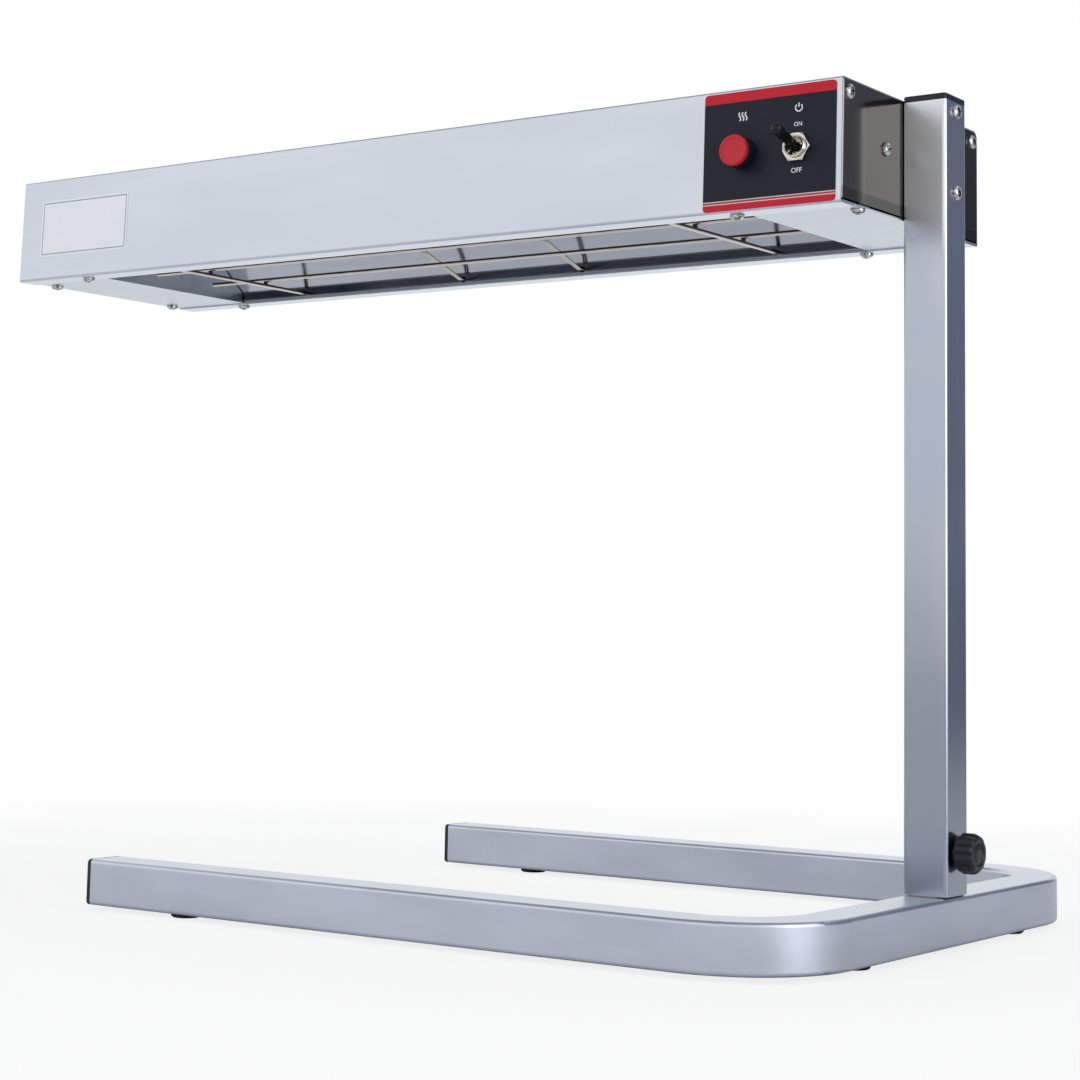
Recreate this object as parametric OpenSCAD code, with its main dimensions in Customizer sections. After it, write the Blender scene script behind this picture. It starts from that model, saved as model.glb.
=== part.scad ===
// Freestanding strip heat lamp: a heater head on a square post that stands on a U-shaped base.
// Millimetres, +Z up, +X from the leg ends towards the post, the control panel faces -Y.
// The origin lies on the table under the middle of the lamp's outline.

/* [Base] */
// Length of the base from the leg ends to the outside of the crosspiece
base_length = 453; // [400:1:500]
// Width of the base across both legs
base_width = 360; // [300:1:420]
// Outside width of the square tube of base and post
tube = 25.4; // [24:0.1:28]
// Wall of the base tube
base_wall = 1.5; // [1:0.1:2]
// Radius of the long edges of the square tube
tube_edge = 2.2; // [1.9:0.1:4]
// Outer radius of the two bends, seen from above
bend_radius = 62; // [50:1:80]
// Thickness of the head of a leg end cap
leg_cap_head = 3; // [2:0.5:5]
// Depth of a leg end cap's plug
leg_cap_plug = 12; // [8:1:20]
// Height of a foot under the tube
foot_height = 2.5; // [2:0.1:5]
// Diameter of a foot
foot_d = 17; // [12:0.5:20]
// Diameter of the stem that a foot has in the tube
foot_stem_d = 6; // [4:0.5:8]
// Distance from a leg end to the middle of its foot
leg_foot_inset = 66; // [50:1:90]
// Distance between the two feet under the crosspiece
cross_foot_pitch = 184; // [150:1:220]

/* [Post] */
// Length of the post tube
post_length = 420.5; // [380:0.5:460]
// Wall of the post tube
post_wall = 1.2; // [1:0.1:1.5]
// Gap between the base and the lower end of the post
post_gap = 0.6; // [0.4:0.1:1]
// Height of the head of the post cap
post_cap_head = 3.5; // [3:0.1:6]
// Depth of the post cap's plug
post_cap_plug = 12; // [10:0.5:18]
// Height of the welded stub inside the post
stub_height = 105; // [100:1:130]
// Wall of the stub
stub_wall = 1.5; // [1:0.1:2]
// Play between the stub and the post on each side
stub_play = 0.3; // [0.2:0.05:0.5]

/* [Clamp] */
// Height of the clamp screw over the top of the base
clamp_height = 22.6; // [18:0.1:28]
// Diameter of the clamp screw
stud_d = 6; // [5:0.5:6]
// Height of the welded nut inside the post
clamp_nut_height = 5; // [4:0.1:5.5]
// Width of the welded nut across flats
clamp_nut_flats = 10; // [9:0.5:11]
// Diameter of the knob over its lobes
knob_d = 21; // [18:0.5:24]
// Length of the knob
knob_length = 11; // [9:0.5:16]
// Number of flutes round the knob
knob_flutes = 10; // [8:1:14]
// Gap between the knob and the post when tight
knob_gap = 1.2; // [0.8:0.1:2]

/* [Heater housing] */
// Length of the heater
heater_length = 610; // [560:1:660]
// Height of the heater
heater_height = 66.8; // [62:0.1:70]
// Distance from the middle of the post to the foot of the front wall
front_bottom = 84.1; // [82:0.1:88]
// Lean of the front wall, how far its top stands back
front_lean = 1.8; // [0:0.1:4]
// Distance from the middle of the post to the rear wall
rear_wall = 82.5; // [80:0.5:86]
// Sheet of the housing
sheet = 0.8; // [0.6:0.1:1]
// Outer radius of the housing's front and lower folds
fold_radius = 1.5; // [1.4:0.1:2.4]
// Outer radius of the housing's upper rear fold
rear_fold_radius = 4.5; // [2:0.1:5]
// Width of the lips under the housing
lip = 15; // [14:0.5:16]
// How far the heater's top lies under the top of the post cap
heater_drop = 2.1; // [0:0.1:4]
// Sheet of an end plate
end_sheet = 1.2; // [1:0.1:1.5]
// Depth of the flange behind the front wall to which an end plate is bent
end_flange = 8; // [6:0.5:10]
// Gap between that flange and the front wall
end_gap = 0.3; // [0.3:0.1:1.5]
// Height of an end plate's lower edge over the lips
end_rise = 2.8; // [2.8:0.1:5]
// Width of a bottom cover along the heater
cover_width = 62.5; // [60:0.5:64]
// Sheet of the bottom covers and reflector ends
cover_sheet = 0.8; // [0.6:0.1:1]

/* [Reflector and element] */
// Sheet of the reflector
reflector_sheet = 0.6; // [0.5:0.1:0.8]
// Width of the reflector's flange that lies on a lip
reflector_flange = 16.5; // [15.5:0.1:17.5]
// Height of the upright edge
trough_rise = 6.5; // [5.5:0.1:8]
// Depth of the reflector
trough_depth = 40; // [38:0.5:44]
// Half the width of the reflector's flat back
trough_back = 24; // [20:0.5:28]
// Diameter of the heating element's sheath
element_d = 8; // [6.5:0.1:8.5]
// Height of the element's axis over the underside of the heater
element_height = 28.7; // [28:0.1:30]
// How far the element reaches past each reflector end
element_reach = 17; // [14:0.5:20]
// Wire of the guard
wire_d = 2.6; // [2.2:0.1:3.2]
// Wire of the element supports, which are bent double
support_wire_d = 1.4; // [1.2:0.1:1.5]
// Distance between the two strands of an element support
strand_pitch = 1.9; // [1.8:0.1:2.4]
// How far the cross wires lie over the bottom covers
wire_rise = 1.1; // [0.5:0.1:2]
// Gap between the cross wires and the long wires, which the welds fill
weld_gap = 1.2; // [0.4:0.1:1.6]
// Distance between the two cross wires of the guard
cross_wire_pitch = 370; // [340:1:400]
// Distance between the two long wires of the guard
long_wire_pitch = 54; // [44:1:64]
// Length of a long wire
long_wire_length = 465; // [440:1:470]
// How far the middle of the guard lies left of the heater's middle
guard_shift = 2; // [0:0.5:4]
// Distance between the two element supports
support_pitch = 93.5; // [80:0.5:130]
// How far the middle between the supports lies left of the heater's middle
support_shift = 3; // [0:0.5:6]

/* [Controls] */
// Width of the control panel
panel_width = 79.4; // [76:0.1:80]
// Height of the control panel
panel_height = 64.2; // [58:0.1:65]
// Thickness of the control panel
panel_sheet = 0.4; // [0.3:0.1:0.6]
// Distance from the heater's right end to the control panel
panel_inset = 3.1; // [2.5:0.1:6]
// Distance from the heater's right end to the switch
switch_inset = 25.6; // [22:0.1:28]
// Distance between the switch and the lamp
lamp_pitch = 33.2; // [30:0.1:34]
// Height of the switch and lamp on the front wall
controls_up = 31.1; // [29:0.1:34]
// Diameter of the lamp's lens
lens_d = 16.8; // [15:0.1:19]
// How far the lamp's bezel stands out of the panel
bezel_out = 8.4; // [6:0.1:10]
// Thickness of the lens
lens_out = 2.2; // [2:0.1:3]
// Diameter of the switch's threaded bushing
bushing_d = 11.8; // [11.4:0.1:12]
// How far the bushing stands out of the front wall
bushing_out = 5; // [4.5:0.1:9]
// Width of the switch nut across flats
switch_nut_flats = 14.6; // [14:0.1:16]
// Length of the lever from its pivot to its tip
lever_length = 24.4; // [18:0.1:26]
// Angle of the lever from level, up when on and down when off
lever_angle = 14; // [11:1:17]
// Width of the blank label
label_width = 78.5; // [60:0.5:90]
// Height of the blank label
label_height = 37; // [30:0.5:45]
// Distance from the heater's left end to the label
label_inset = 18; // [10:0.5:30]
// Height of the label's lower edge on the front wall
label_up = 15.5; // [8:0.5:18]

/* [Fasteners] */
// Diameter of the shank of the pan head screws
screw_d = 3.8; // [3.4:0.1:4]
// Diameter of a pan head
head_d = 8; // [7:0.1:8.4]
// Height of a pan head
head_h = 2.5; // [2.2:0.1:3]
// Width of the small nuts across flats
nut_flats = 7; // [6.5:0.1:7.5]
// Height of the small nuts
nut_h = 3; // [2.4:0.1:3.2]
// Depth of the upper post bolt under the heater's top
bolt_drop = 6.6; // [6:0.1:8]
// Distance between the two post bolts
bolt_pitch = 44.5; // [40:0.5:46]

/* [Hidden] */
$fn = 48;
// Play of a screw in its clearance hole, and of a thread or a turning piece, at the radius
hole_play = 0.3;
thread_play = 0.05;
// Gap that leads keep from the terminals
lead_gap = 0.2;

// Levels from the table upwards
base_top = foot_height + tube;
post_bottom = base_top + post_gap;
post_top = post_bottom + post_length;
heater_bottom = post_top + post_cap_head - heater_drop - heater_height;
clamp_z = base_top + clamp_height;

// The outline's middle, from the left screw heads to the knob, moves to the origin
left_end = -(tube + heater_length + head_h);
right_end = knob_gap + knob_length;
middle_x = (left_end + right_end) / 2;

// Stub and clamp
tube_inside = tube - 2 * base_wall;
post_inside = tube - 2 * post_wall;
stub_y = post_inside - 2 * stub_play;
stub_edge = 2.4;
stub_right = -(post_wall + clamp_nut_height + stub_play);
stub_left = -tube + post_wall + stub_play;
stub_x = stub_right - stub_left;
stud_tip = stub_right + stub_play / 2;
stud_in_knob = knob_length * 0.7;

// Heater, in its own frame: x from 0 at the post to -heater_length, z from 0 at the lips
lean = atan(front_lean / heater_height);
cover_level = sheet;
cover_top = sheet + cover_sheet;
reflector_gap = 0.8;
reflector_left = -heater_length + cover_width + reflector_gap;
reflector_right = -cover_width - reflector_gap;
heater_middle = -heater_length / 2;
end_play = 0.2;
corner_screw_y = 74.8;
corner_screw_drop = 7.1;
backing_screw_y = 32.6;
backing_screw_z = 36.5;
backing_sheet = 2;
backing_half = 40;
backing_margin = 5;
cover_screw_inset = 5.2;
cover_screw_y = 55;
lip_screw_y = rear_wall - lip / 2;
trough_half = rear_wall - reflector_flange;
reflector_foot = 11;
lip_screw_right = 66.6;
lip_screw_left = 55.4;
tab_width = 12;
tab_reach = 10;
ear_width = 7.3;
end_bend = 2;
wire_level = cover_top + wire_rise + wire_d / 2;
support_rise = 0.5;
support_level = cover_top + support_rise + (strand_pitch + support_wire_d) / 2;
wire_end_y = trough_half + 9;
weld_d = 2;
bushing_hole_r = 7;
terminal_d = 3.2;
terminal_length = 12;

// Switch and lamp, in the frame of the front wall: y inwards, z up along the wall
lamp_inset = switch_inset + lamp_pitch;
panel_edge = 2.2;
panel_drop = 0.4;
switch_seat = sheet + 1;
switch_w = 18;
switch_h = 33;
switch_deep = 18.5;
blade_pitch = 16;
blade_length = 8;
bushing_bore_d = bushing_d - 2.2;
pivot_y = -1.6;
lever_d = 3.8;
ball_d = 5.2;
pivot_d = 2;
pivot_length = bushing_d - 0.8;
sleeve_start = 4.6;
sleeve_d = 6;
lens_bevel = 0.5;
lamp_neck_d = 11.6;
lamp_neck_end = 6;
lamp_body_d = 12.4;
lamp_body_end = 27;
lead_d = 2.2;
lead_sweep = 32;

// Terminal block, gland and earth stud inside the right end of the heater
block_size = [28, 30, 18];
block_x = -50;
block_y = 15;
block_lead_z = 9;
gland_inset = 28;
gland_z = 32;
gland_d = 12;
gland_bore_d = 8;
gland_flats = 16;
gland_inside = 9;
gland_collar = 4;
gland_nose = 8;
earth_x = -16;
earth_y = -24;

// Frames

module placed() {
    translate([-middle_x, 0, 0]) children();
}

module in_heater() {
    placed() translate([-tube, 0, heater_bottom]) children();
}

// x along the wall, y inwards from its outer face, z up along it
module on_front(x = 0, up = 0) {
    in_heater() translate([x, -front_bottom, 0]) rotate([-lean, 0, 0]) translate([0, 0, up]) children();
}

// The same point in the heater's frame
function front_point(x, y, up) =
    [x, -front_bottom + y * cos(lean) + up * sin(lean), up * cos(lean) - y * sin(lean)];

// Lays a shape drawn in y and z along x
module along_x(length) {
    rotate([90, 0, 90]) linear_extrude(height = length) children();
}

// Shapes that repeat

module rounded_section(width, depth, edge) {
    square([width, depth - 2 * edge], center = true);
    square([width - 2 * edge, depth], center = true);
    for (x = [-1, 1], y = [-1, 1])
        translate([x * (width / 2 - edge), y * (depth / 2 - edge)]) circle(r = edge);
}

module square_section(width, edge) {
    rounded_section(width, width, edge);
}

// A pan head screw: head from z = 0 up, shank down
module pan_screw(length) {
    rim = 0.9;
    rise = head_h - rim;
    dome = (pow(head_d / 2, 2) + rise * rise) / (2 * rise);
    difference() {
        intersection() {
            cylinder(h = head_h, d = head_d);
            translate([0, 0, head_h - dome]) sphere(r = dome, $fn = 96);
        }
        for (turn = [0, 90])
            rotate([0, 0, turn]) translate([-2.2, -0.45, head_h - 1.3]) cube([4.4, 0.9, 2]);
    }
    translate([0, 0, -length]) cylinder(h = length, d = screw_d);
}

module hex_nut(flats, height, bore) {
    difference() {
        cylinder(h = height, d = flats / cos(30), $fn = 6);
        translate([0, 0, -1]) cylinder(h = height + 2, d = bore);
    }
}

module screw_hole(x, y, play = hole_play) {
    translate([x, y, -1]) cylinder(h = 6, d = screw_d + 2 * play);
}

// Folded sheet: a centre line with rounded corners, drawn as thick as the sheet
function unit(v) = v / norm(v);
function between(v, low, high) = min(max(v, low), high);

function corner(a, b, c, r, steps) =
    let (
        u = unit(a - b),
        v = unit(c - b),
        half = acos(between(u * v, -1, 1)) / 2,
        centre = b + unit(u + v) * r / sin(half),
        from = b + u * r / tan(half) - centre,
        to = b + v * r / tan(half) - centre,
        first = atan2(from.y, from.x),
        turn = atan2(from.x * to.y - from.y * to.x, from * to)
    )
    [for (i = [0 : steps]) centre + r * [cos(first + turn * i / steps), sin(first + turn * i / steps)]];

function folded(points, radii, steps = 5) = [
    points[0],
    for (i = [1 : len(points) - 2])
        for (p = corner(points[i - 1], points[i], points[i + 1], radii[i - 1], steps)) p,
    points[len(points) - 1]
];

function side_of(line, i, reach) =
    let (
        last = len(line) - 1,
        before = unit(line[max(i, 1)] - line[max(i, 1) - 1]),
        after = unit(line[min(i, last - 1) + 1] - line[min(i, last - 1)]),
        mean = unit(before + after)
    )
    line[i] + [-mean.y, mean.x] * reach / max(mean * before, 0.5);

function sheet_outline(line, t) = concat(
    [for (i = [0 : len(line) - 1]) side_of(line, i, t / 2)],
    [for (i = [len(line) - 1 : -1 : 0]) side_of(line, i, -t / 2)]
);

// Rounded polygon: a closed outline with arcs at its corners
function rounded(points, radii, steps = 5) =
    let (count = len(points))
    [for (i = [0 : count - 1])
        for (p = corner(points[(i + count - 1) % count], points[i], points[(i + 1) % count], radii[i], steps)) p];

// Base

module bent_tube(width, edge, past) {
    run = tube / 2;
    for (side = [0, 1]) mirror([0, side, 0]) {
        translate([-base_length + leg_cap_head - past, base_width / 2 - run, foot_height + run])
            along_x(base_length - leg_cap_head - bend_radius + past) square_section(width, edge);
        translate([-bend_radius, base_width / 2 - bend_radius, foot_height + run])
            rotate_extrude(angle = 90, $fn = 96) translate([bend_radius - run, 0]) square_section(width, edge);
    }
    translate([-run, 0, foot_height + run]) rotate([90, 0, 0])
        linear_extrude(height = base_width - 2 * bend_radius, center = true) square_section(width, edge);
}

foot_places = [
    for (side = [-1, 1]) [-base_length + leg_foot_inset, side * (base_width / 2 - tube / 2)],
    for (side = [-1, 1]) [-tube / 2, side * cross_foot_pitch / 2]
];

module base_frame() color("lightsteelblue") placed() difference() {
    bent_tube(tube, tube_edge, 0);
    bent_tube(tube_inside, tube_edge - base_wall, 1);
    for (p = foot_places)
        translate([p.x, p.y, foot_height - 1]) cylinder(h = base_wall + 2, d = foot_stem_d + 2 * thread_play);
}

module leg_end_caps() color("black") placed() for (side = [-1, 1])
    translate([-base_length, side * (base_width - tube) / 2, foot_height + tube / 2]) difference() {
        union() {
            along_x(leg_cap_head) square_section(tube, tube_edge);
            along_x(leg_cap_head + leg_cap_plug)
                square_section(tube_inside - 2 * thread_play, tube_edge - base_wall);
        }
        translate([leg_cap_head, 0, 0])
            along_x(leg_cap_plug + 1) square_section(tube_inside - 4, tube_edge - base_wall);
    }

module feet() color("black") placed() for (p = foot_places) translate([p.x, p.y, 0]) {
    cylinder(h = foot_height / 2, d1 = foot_d - foot_height / 2, d2 = foot_d);
    translate([0, 0, foot_height / 2]) cylinder(h = foot_height / 2, d = foot_d);
    translate([0, 0, foot_height]) cylinder(h = base_wall + 5, d = foot_stem_d);
}

module post_stub() color("slategray") placed()
    translate([stub_left + stub_x / 2, 0, base_top]) linear_extrude(height = stub_height) difference() {
        rounded_section(stub_x, stub_y, stub_edge);
        rounded_section(stub_x - 2 * stub_wall, stub_y - 2 * stub_wall, stub_edge - stub_wall);
    }

// Post

bolt_levels = [heater_bottom + heater_height - bolt_drop, heater_bottom + heater_height - bolt_drop - bolt_pitch];

module post() color("lightslategray") placed() difference() {
    translate([-tube / 2, 0, post_bottom]) linear_extrude(height = post_length) difference() {
        square_section(tube, tube_edge);
        square_section(post_inside, tube_edge - post_wall);
    }
    for (z = bolt_levels)
        translate([-tube - 1, 0, z]) rotate([0, 90, 0]) cylinder(h = tube + 2, d = screw_d + 2 * hole_play);
    translate([-post_wall - 1, 0, clamp_z]) rotate([0, 90, 0])
        cylinder(h = post_wall + 2, d = stud_d + 2 * hole_play);
}

module post_cap() color("black") placed() translate([-tube / 2, 0, post_top]) difference() {
    union() {
        linear_extrude(height = post_cap_head) square_section(tube, tube_edge);
        translate([0, 0, -post_cap_plug])
            linear_extrude(height = post_cap_plug)
                square_section(post_inside - 2 * thread_play, tube_edge - post_wall);
    }
    translate([0, 0, -post_cap_plug - 1])
        linear_extrude(height = post_cap_plug + 2) square_section(post_inside - 4, 1);
    translate([0, 0, -post_cap_plug / 2 - 0.5])
        cube([tube, screw_d + 4, post_cap_plug + 1], center = true);
}

module post_bolts() color("gainsboro") placed() for (z = bolt_levels)
    translate([0, 0, z]) rotate([0, 90, 0])
        pan_screw(tube + end_sheet + backing_sheet + nut_h + 2);

module post_nuts() color("silver") placed() for (z = bolt_levels)
    translate([-tube - end_sheet - backing_sheet - nut_h, 0, z]) rotate([0, 90, 0])
        hex_nut(nut_flats, nut_h, screw_d + 2 * thread_play);

// Clamp

module clamp_nut() color("dimgray") placed()
    translate([-post_wall - clamp_nut_height, 0, clamp_z]) rotate([0, 90, 0])
        hex_nut(clamp_nut_flats, clamp_nut_height, stud_d);

module clamp_stud() color("silver") placed()
    translate([stud_tip, 0, clamp_z]) rotate([0, 90, 0])
        cylinder(h = knob_gap + stud_in_knob - stud_tip, d = stud_d - 2 * thread_play);

module clamp_knob() color("black") placed() translate([knob_gap, 0, clamp_z]) rotate([0, 90, 0])
    difference() {
        collar = 1.4;
        face = 2.2;
        union() {
            cylinder(h = collar, d = knob_d - 3);
            translate([0, 0, collar]) cylinder(h = knob_length - collar - face, d = knob_d);
            translate([0, 0, knob_length - face]) cylinder(h = face, d1 = knob_d, d2 = knob_d - 4);
        }
        for (i = [0 : knob_flutes - 1]) rotate([0, 0, 360 * i / knob_flutes])
            translate([knob_d / 2 + 0.7, 0, collar]) cylinder(h = knob_length, d = 3.6, $fn = 24);
        translate([0, 0, knob_length - 0.8]) difference() {
            cylinder(h = 2, d = knob_d - 8);
            translate([0, 0, -1]) cylinder(h = 4, d = knob_d - 10);
        }
        translate([0, 0, -1]) cylinder(h = stud_in_knob + 1, d = stud_d);
    }

// Heater housing and its ends

function front_y(z) = -front_bottom + z * tan(lean);
function front_middle(z) = front_y(z) + sheet / 2 / cos(lean);

housing_line = [
    [-front_bottom + lip, sheet / 2],
    [front_middle(sheet / 2), sheet / 2],
    [front_middle(heater_height - sheet / 2), heater_height - sheet / 2],
    [rear_wall - sheet / 2, heater_height - sheet / 2],
    [rear_wall - sheet / 2, sheet / 2],
    [rear_wall - lip, sheet / 2]
];
housing_folds = [for (r = [fold_radius, fold_radius, rear_fold_radius, fold_radius]) r - sheet / 2];

lip_screws_at = [
    for (side = [-1, 1]) [-heater_length + lip_screw_left, side * lip_screw_y, cover_top],
    for (side = [-1, 1]) [-lip_screw_right, side * lip_screw_y, sheet + reflector_sheet]
];

module housing() color("lightsteelblue") difference() {
    in_heater() {
        translate([-heater_length, 0, 0]) along_x(heater_length)
            polygon(sheet_outline(folded(housing_line, housing_folds), sheet));
        // Tapped ears behind the end plates, bent down from the top
        for (x = [-heater_length + end_sheet, -2 * end_sheet], side = [-1, 1])
            translate([x, side * (corner_screw_y - 0.55) - ear_width / 2, heater_height - sheet - tab_width])
                cube([end_sheet, ear_width, tab_width]);
    }
    in_heater() for (x = [-heater_length, 0], side = [-1, 1])
        translate([x - 5, side * corner_screw_y, heater_height - corner_screw_drop]) rotate([0, 90, 0])
            cylinder(h = 10, d = screw_d + 2 * thread_play);
    in_heater() for (p = lip_screws_at) screw_hole(p.x, p.y);
    on_front(-switch_inset, controls_up) translate([0, 5, 0]) rotate([90, 0, 0])
        cylinder(h = 10, d = bushing_d + 2 * hole_play);
    on_front(-lamp_inset, controls_up) translate([0, 5, 0]) rotate([90, 0, 0])
        cylinder(h = 10, d = lamp_neck_d + 2 * hole_play);
    in_heater() translate([-gland_inset, rear_wall - 5, gland_z]) rotate([-90, 0, 0])
        cylinder(h = 10, d = gland_d + 2 * thread_play);
}

module end_bend_section() {
    intersection() {
        translate([-end_bend, end_bend]) difference() {
            circle(r = end_bend);
            circle(r = end_bend - end_sheet);
        }
        translate([-end_bend, 0]) square(end_bend);
    }
    translate([-end_flange, 0]) square([end_flange - end_bend, end_sheet]);
    translate([-end_sheet, end_bend]) square([end_sheet, 1]);
}

// An end plate, bent back behind the front wall, with two tapped tabs for the cover inside it.
// Drawn for the right end
module end_plate() {
    edge = sheet + end_play;
    front_edge = sheet + end_gap;
    top = heater_height - edge;
    difference() {
        union() {
            translate([-end_sheet, 0, 0]) along_x(end_sheet) polygon(rounded([
                [front_y(end_rise) + front_edge + end_bend, end_rise],
                [front_y(top) + front_edge + end_bend, top],
                [rear_wall - edge, top],
                [rear_wall - edge, end_rise]
            ], [0.4, 0.4, rear_fold_radius - edge, 2.4]));
            translate([0, -front_bottom, 0]) rotate([-lean, 0, 0]) translate([0, front_edge, end_rise])
                linear_extrude(height = top - end_rise) end_bend_section();
            for (side = [-1, 1]) translate([-end_sheet, side * cover_screw_y - tab_width / 2, cover_top]) {
                translate([-end_sheet, 0, 0]) cube([end_sheet, tab_width, end_rise - cover_top + 5]);
                translate([-tab_reach, 0, 0]) cube([tab_reach, tab_width, end_sheet]);
            }
        }
        for (side = [-1, 1]) {
            translate([-5, side * corner_screw_y, heater_height - corner_screw_drop]) rotate([0, 90, 0])
                cylinder(h = 10, d = screw_d + 2 * hole_play);
            screw_hole(-cover_screw_inset, side * cover_screw_y, thread_play);
        }
    }
}

module end_plate_left() color("dimgray") in_heater()
    translate([-heater_length, 0, 0]) mirror([1, 0, 0]) end_plate();

module bolt_holes() {
    for (z = bolt_levels) translate([-5, 0, z - heater_bottom]) rotate([0, 90, 0])
        cylinder(h = 10, d = screw_d + 2 * hole_play);
}

module backing_holes(play) {
    for (side = [-1, 1]) translate([-5, side * backing_screw_y, backing_screw_z]) rotate([0, 90, 0])
        cylinder(h = 10, d = screw_d + 2 * play);
}

module end_plate_right() color("dimgray") in_heater() difference() {
    end_plate();
    bolt_holes();
    backing_holes(hole_play);
}

module backing_plate() color("gray") in_heater() difference() {
    translate([-end_sheet - backing_sheet, -backing_half, backing_margin])
        cube([backing_sheet, 2 * backing_half, heater_height - 2 * backing_margin]);
    bolt_holes();
    backing_holes(thread_play);
}

module bottom_cover() difference() {
    front_edge = -front_bottom + fold_radius + end_play;
    rear_edge = rear_wall - fold_radius - end_play;
    translate([-cover_width, front_edge, cover_level])
        cube([cover_width, rear_edge - front_edge, cover_sheet]);
    for (side = [-1, 1]) screw_hole(-cover_screw_inset, side * cover_screw_y);
}

module bottom_cover_left() color("lightgray") in_heater() difference() {
    translate([-heater_length, 0, 0]) mirror([1, 0, 0]) bottom_cover();
    for (p = lip_screws_at) screw_hole(p.x, p.y);
}

module bottom_cover_right() color("lightgray") in_heater() bottom_cover();

module backing_screws() color("gainsboro") in_heater() for (side = [-1, 1])
    translate([0, side * backing_screw_y, backing_screw_z]) rotate([0, 90, 0])
        pan_screw(end_sheet + backing_sheet + 2);

module end_plate_screws() color("gainsboro") in_heater() for (side = [-1, 1]) {
    translate([0, side * corner_screw_y, heater_height - corner_screw_drop]) rotate([0, 90, 0])
        pan_screw(3 * end_sheet + 2);
    translate([-heater_length, side * corner_screw_y, heater_height - corner_screw_drop])
        rotate([0, -90, 0]) pan_screw(3 * end_sheet + 2);
}

// The screws under the heater point up
module upward_screw(x, y, level, length) {
    translate([x, y, level]) rotate([180, 0, 0]) pan_screw(length);
}

module cover_screws() color("gainsboro") in_heater() for (side = [-1, 1]) {
    upward_screw(-cover_screw_inset, side * cover_screw_y, cover_level, cover_sheet + end_sheet + 2);
    upward_screw(-heater_length + cover_screw_inset, side * cover_screw_y, cover_level, cover_sheet + end_sheet + 2);
}

module lip_screws() color("gainsboro") in_heater() for (p = lip_screws_at)
    upward_screw(p.x, p.y, 0, p.z + nut_h + 1);

module lip_nuts() color("silver") in_heater() for (p = lip_screws_at)
    translate(p) hex_nut(nut_flats, nut_h, screw_d + 2 * thread_play);

// Reflector, guard and element

reflector_level = sheet + reflector_sheet / 2;
reflector_folds = [for (i = [1 : 6]) 1];
reflector_line = [
    [-rear_wall + fold_radius + end_play, reflector_level],
    [-trough_half, reflector_level],
    [-trough_half, reflector_level + trough_rise],
    [-trough_back, trough_depth],
    [trough_back, trough_depth],
    [trough_half, reflector_level + trough_rise],
    [trough_half, reflector_level],
    [rear_wall - fold_radius - end_play, reflector_level]
];

guard_middle = heater_middle - guard_shift;
guard_places = [for (side = [-1, 1]) guard_middle + side * cross_wire_pitch / 2];
support_places = [for (side = [-1, 1]) heater_middle - support_shift + side * support_pitch / 2];

module reflector() color("silver") in_heater() difference() {
    translate([reflector_left, 0, 0]) along_x(reflector_right - reflector_left)
        polygon(sheet_outline(folded(reflector_line, reflector_folds, 3), reflector_sheet));
    for (p = lip_screws_at) screw_hole(p.x, p.y);
    for (x = guard_places) translate([x, 0, wire_level]) rotate([90, 0, 0])
        cylinder(h = 2 * trough_half + 6, d = wire_d + 2 * hole_play, center = true);
    for (x = support_places) translate([x, 0, support_level]) rotate([90, 0, 0])
        cylinder(h = 2 * trough_half + 6, d = strand_pitch + support_wire_d + 2 * hole_play, center = true);
}

// An end wall of the trough with its foot on the cover, drawn for the right end
module reflector_end() difference() {
    union() {
        along_x(cover_sheet) polygon([
            [-trough_half, cover_top],
            [-trough_half, reflector_level + trough_rise],
            [-trough_back, trough_depth],
            [trough_back, trough_depth],
            [trough_half, reflector_level + trough_rise],
            [trough_half, cover_top]
        ]);
        translate([0, -trough_half, cover_top]) cube([reflector_foot, 2 * trough_half, cover_sheet]);
    }
    translate([-1, 0, element_height]) rotate([0, 90, 0])
        cylinder(h = 4, r = bushing_hole_r + thread_play);
}

module reflector_end_right() color("lightgray") in_heater()
    translate([-cover_width, 0, 0]) reflector_end();

module reflector_end_left() color("lightgray") in_heater()
    translate([-heater_length + cover_width, 0, 0]) mirror([1, 0, 0]) reflector_end();

module wire_guard() color("rosybrown") in_heater() {
    long_level = wire_level + wire_d + weld_gap;
    for (x = guard_places) translate([x, 0, wire_level]) rotate([90, 0, 0])
        cylinder(h = 2 * wire_end_y, d = wire_d, center = true);
    for (side = [-1, 1]) {
        translate([guard_middle, side * long_wire_pitch / 2, long_level]) rotate([0, 90, 0])
            cylinder(h = long_wire_length, d = wire_d, center = true);
        for (x = guard_places) translate([x, side * long_wire_pitch / 2, wire_level])
            cylinder(h = long_level - wire_level, d = weld_d);
    }
}

// A support is a doubled wire in the shape of a low tent whose ridge carries the element
support_line = [
    [-wire_end_y, support_level],
    [-trough_half + 4, support_level],
    [0, element_height - element_d / 2 - support_wire_d / 2 - thread_play],
    [trough_half - 4, support_level],
    [wire_end_y, support_level]
];

// Round wire along a line drawn in y and z, with mitred corners
module bent_wire(line, d) {
    last = len(line) - 1;
    rotate([90, 0, 90]) for (i = [0 : last - 1]) {
        along = unit(line[i + 1] - line[i]);
        before = i == 0 ? along : unit(along + unit(line[i] - line[i - 1]));
        after = i == last - 1 ? along : unit(along + unit(line[i + 2] - line[i + 1]));
        difference() {
            translate(line[i] - along * d) rotate([0, 0, atan2(along.y, along.x)]) rotate([0, 90, 0])
                cylinder(h = norm(line[i + 1] - line[i]) + 2 * d, d = d);
            translate(line[i]) rotate([0, 0, atan2(before.y, before.x)])
                translate([-8 * d, -4 * d, -4 * d]) cube(8 * d);
            translate(line[i + 1]) rotate([0, 0, atan2(after.y, after.x)])
                translate([0, -4 * d, -4 * d]) cube(8 * d);
        }
    }
}

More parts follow.
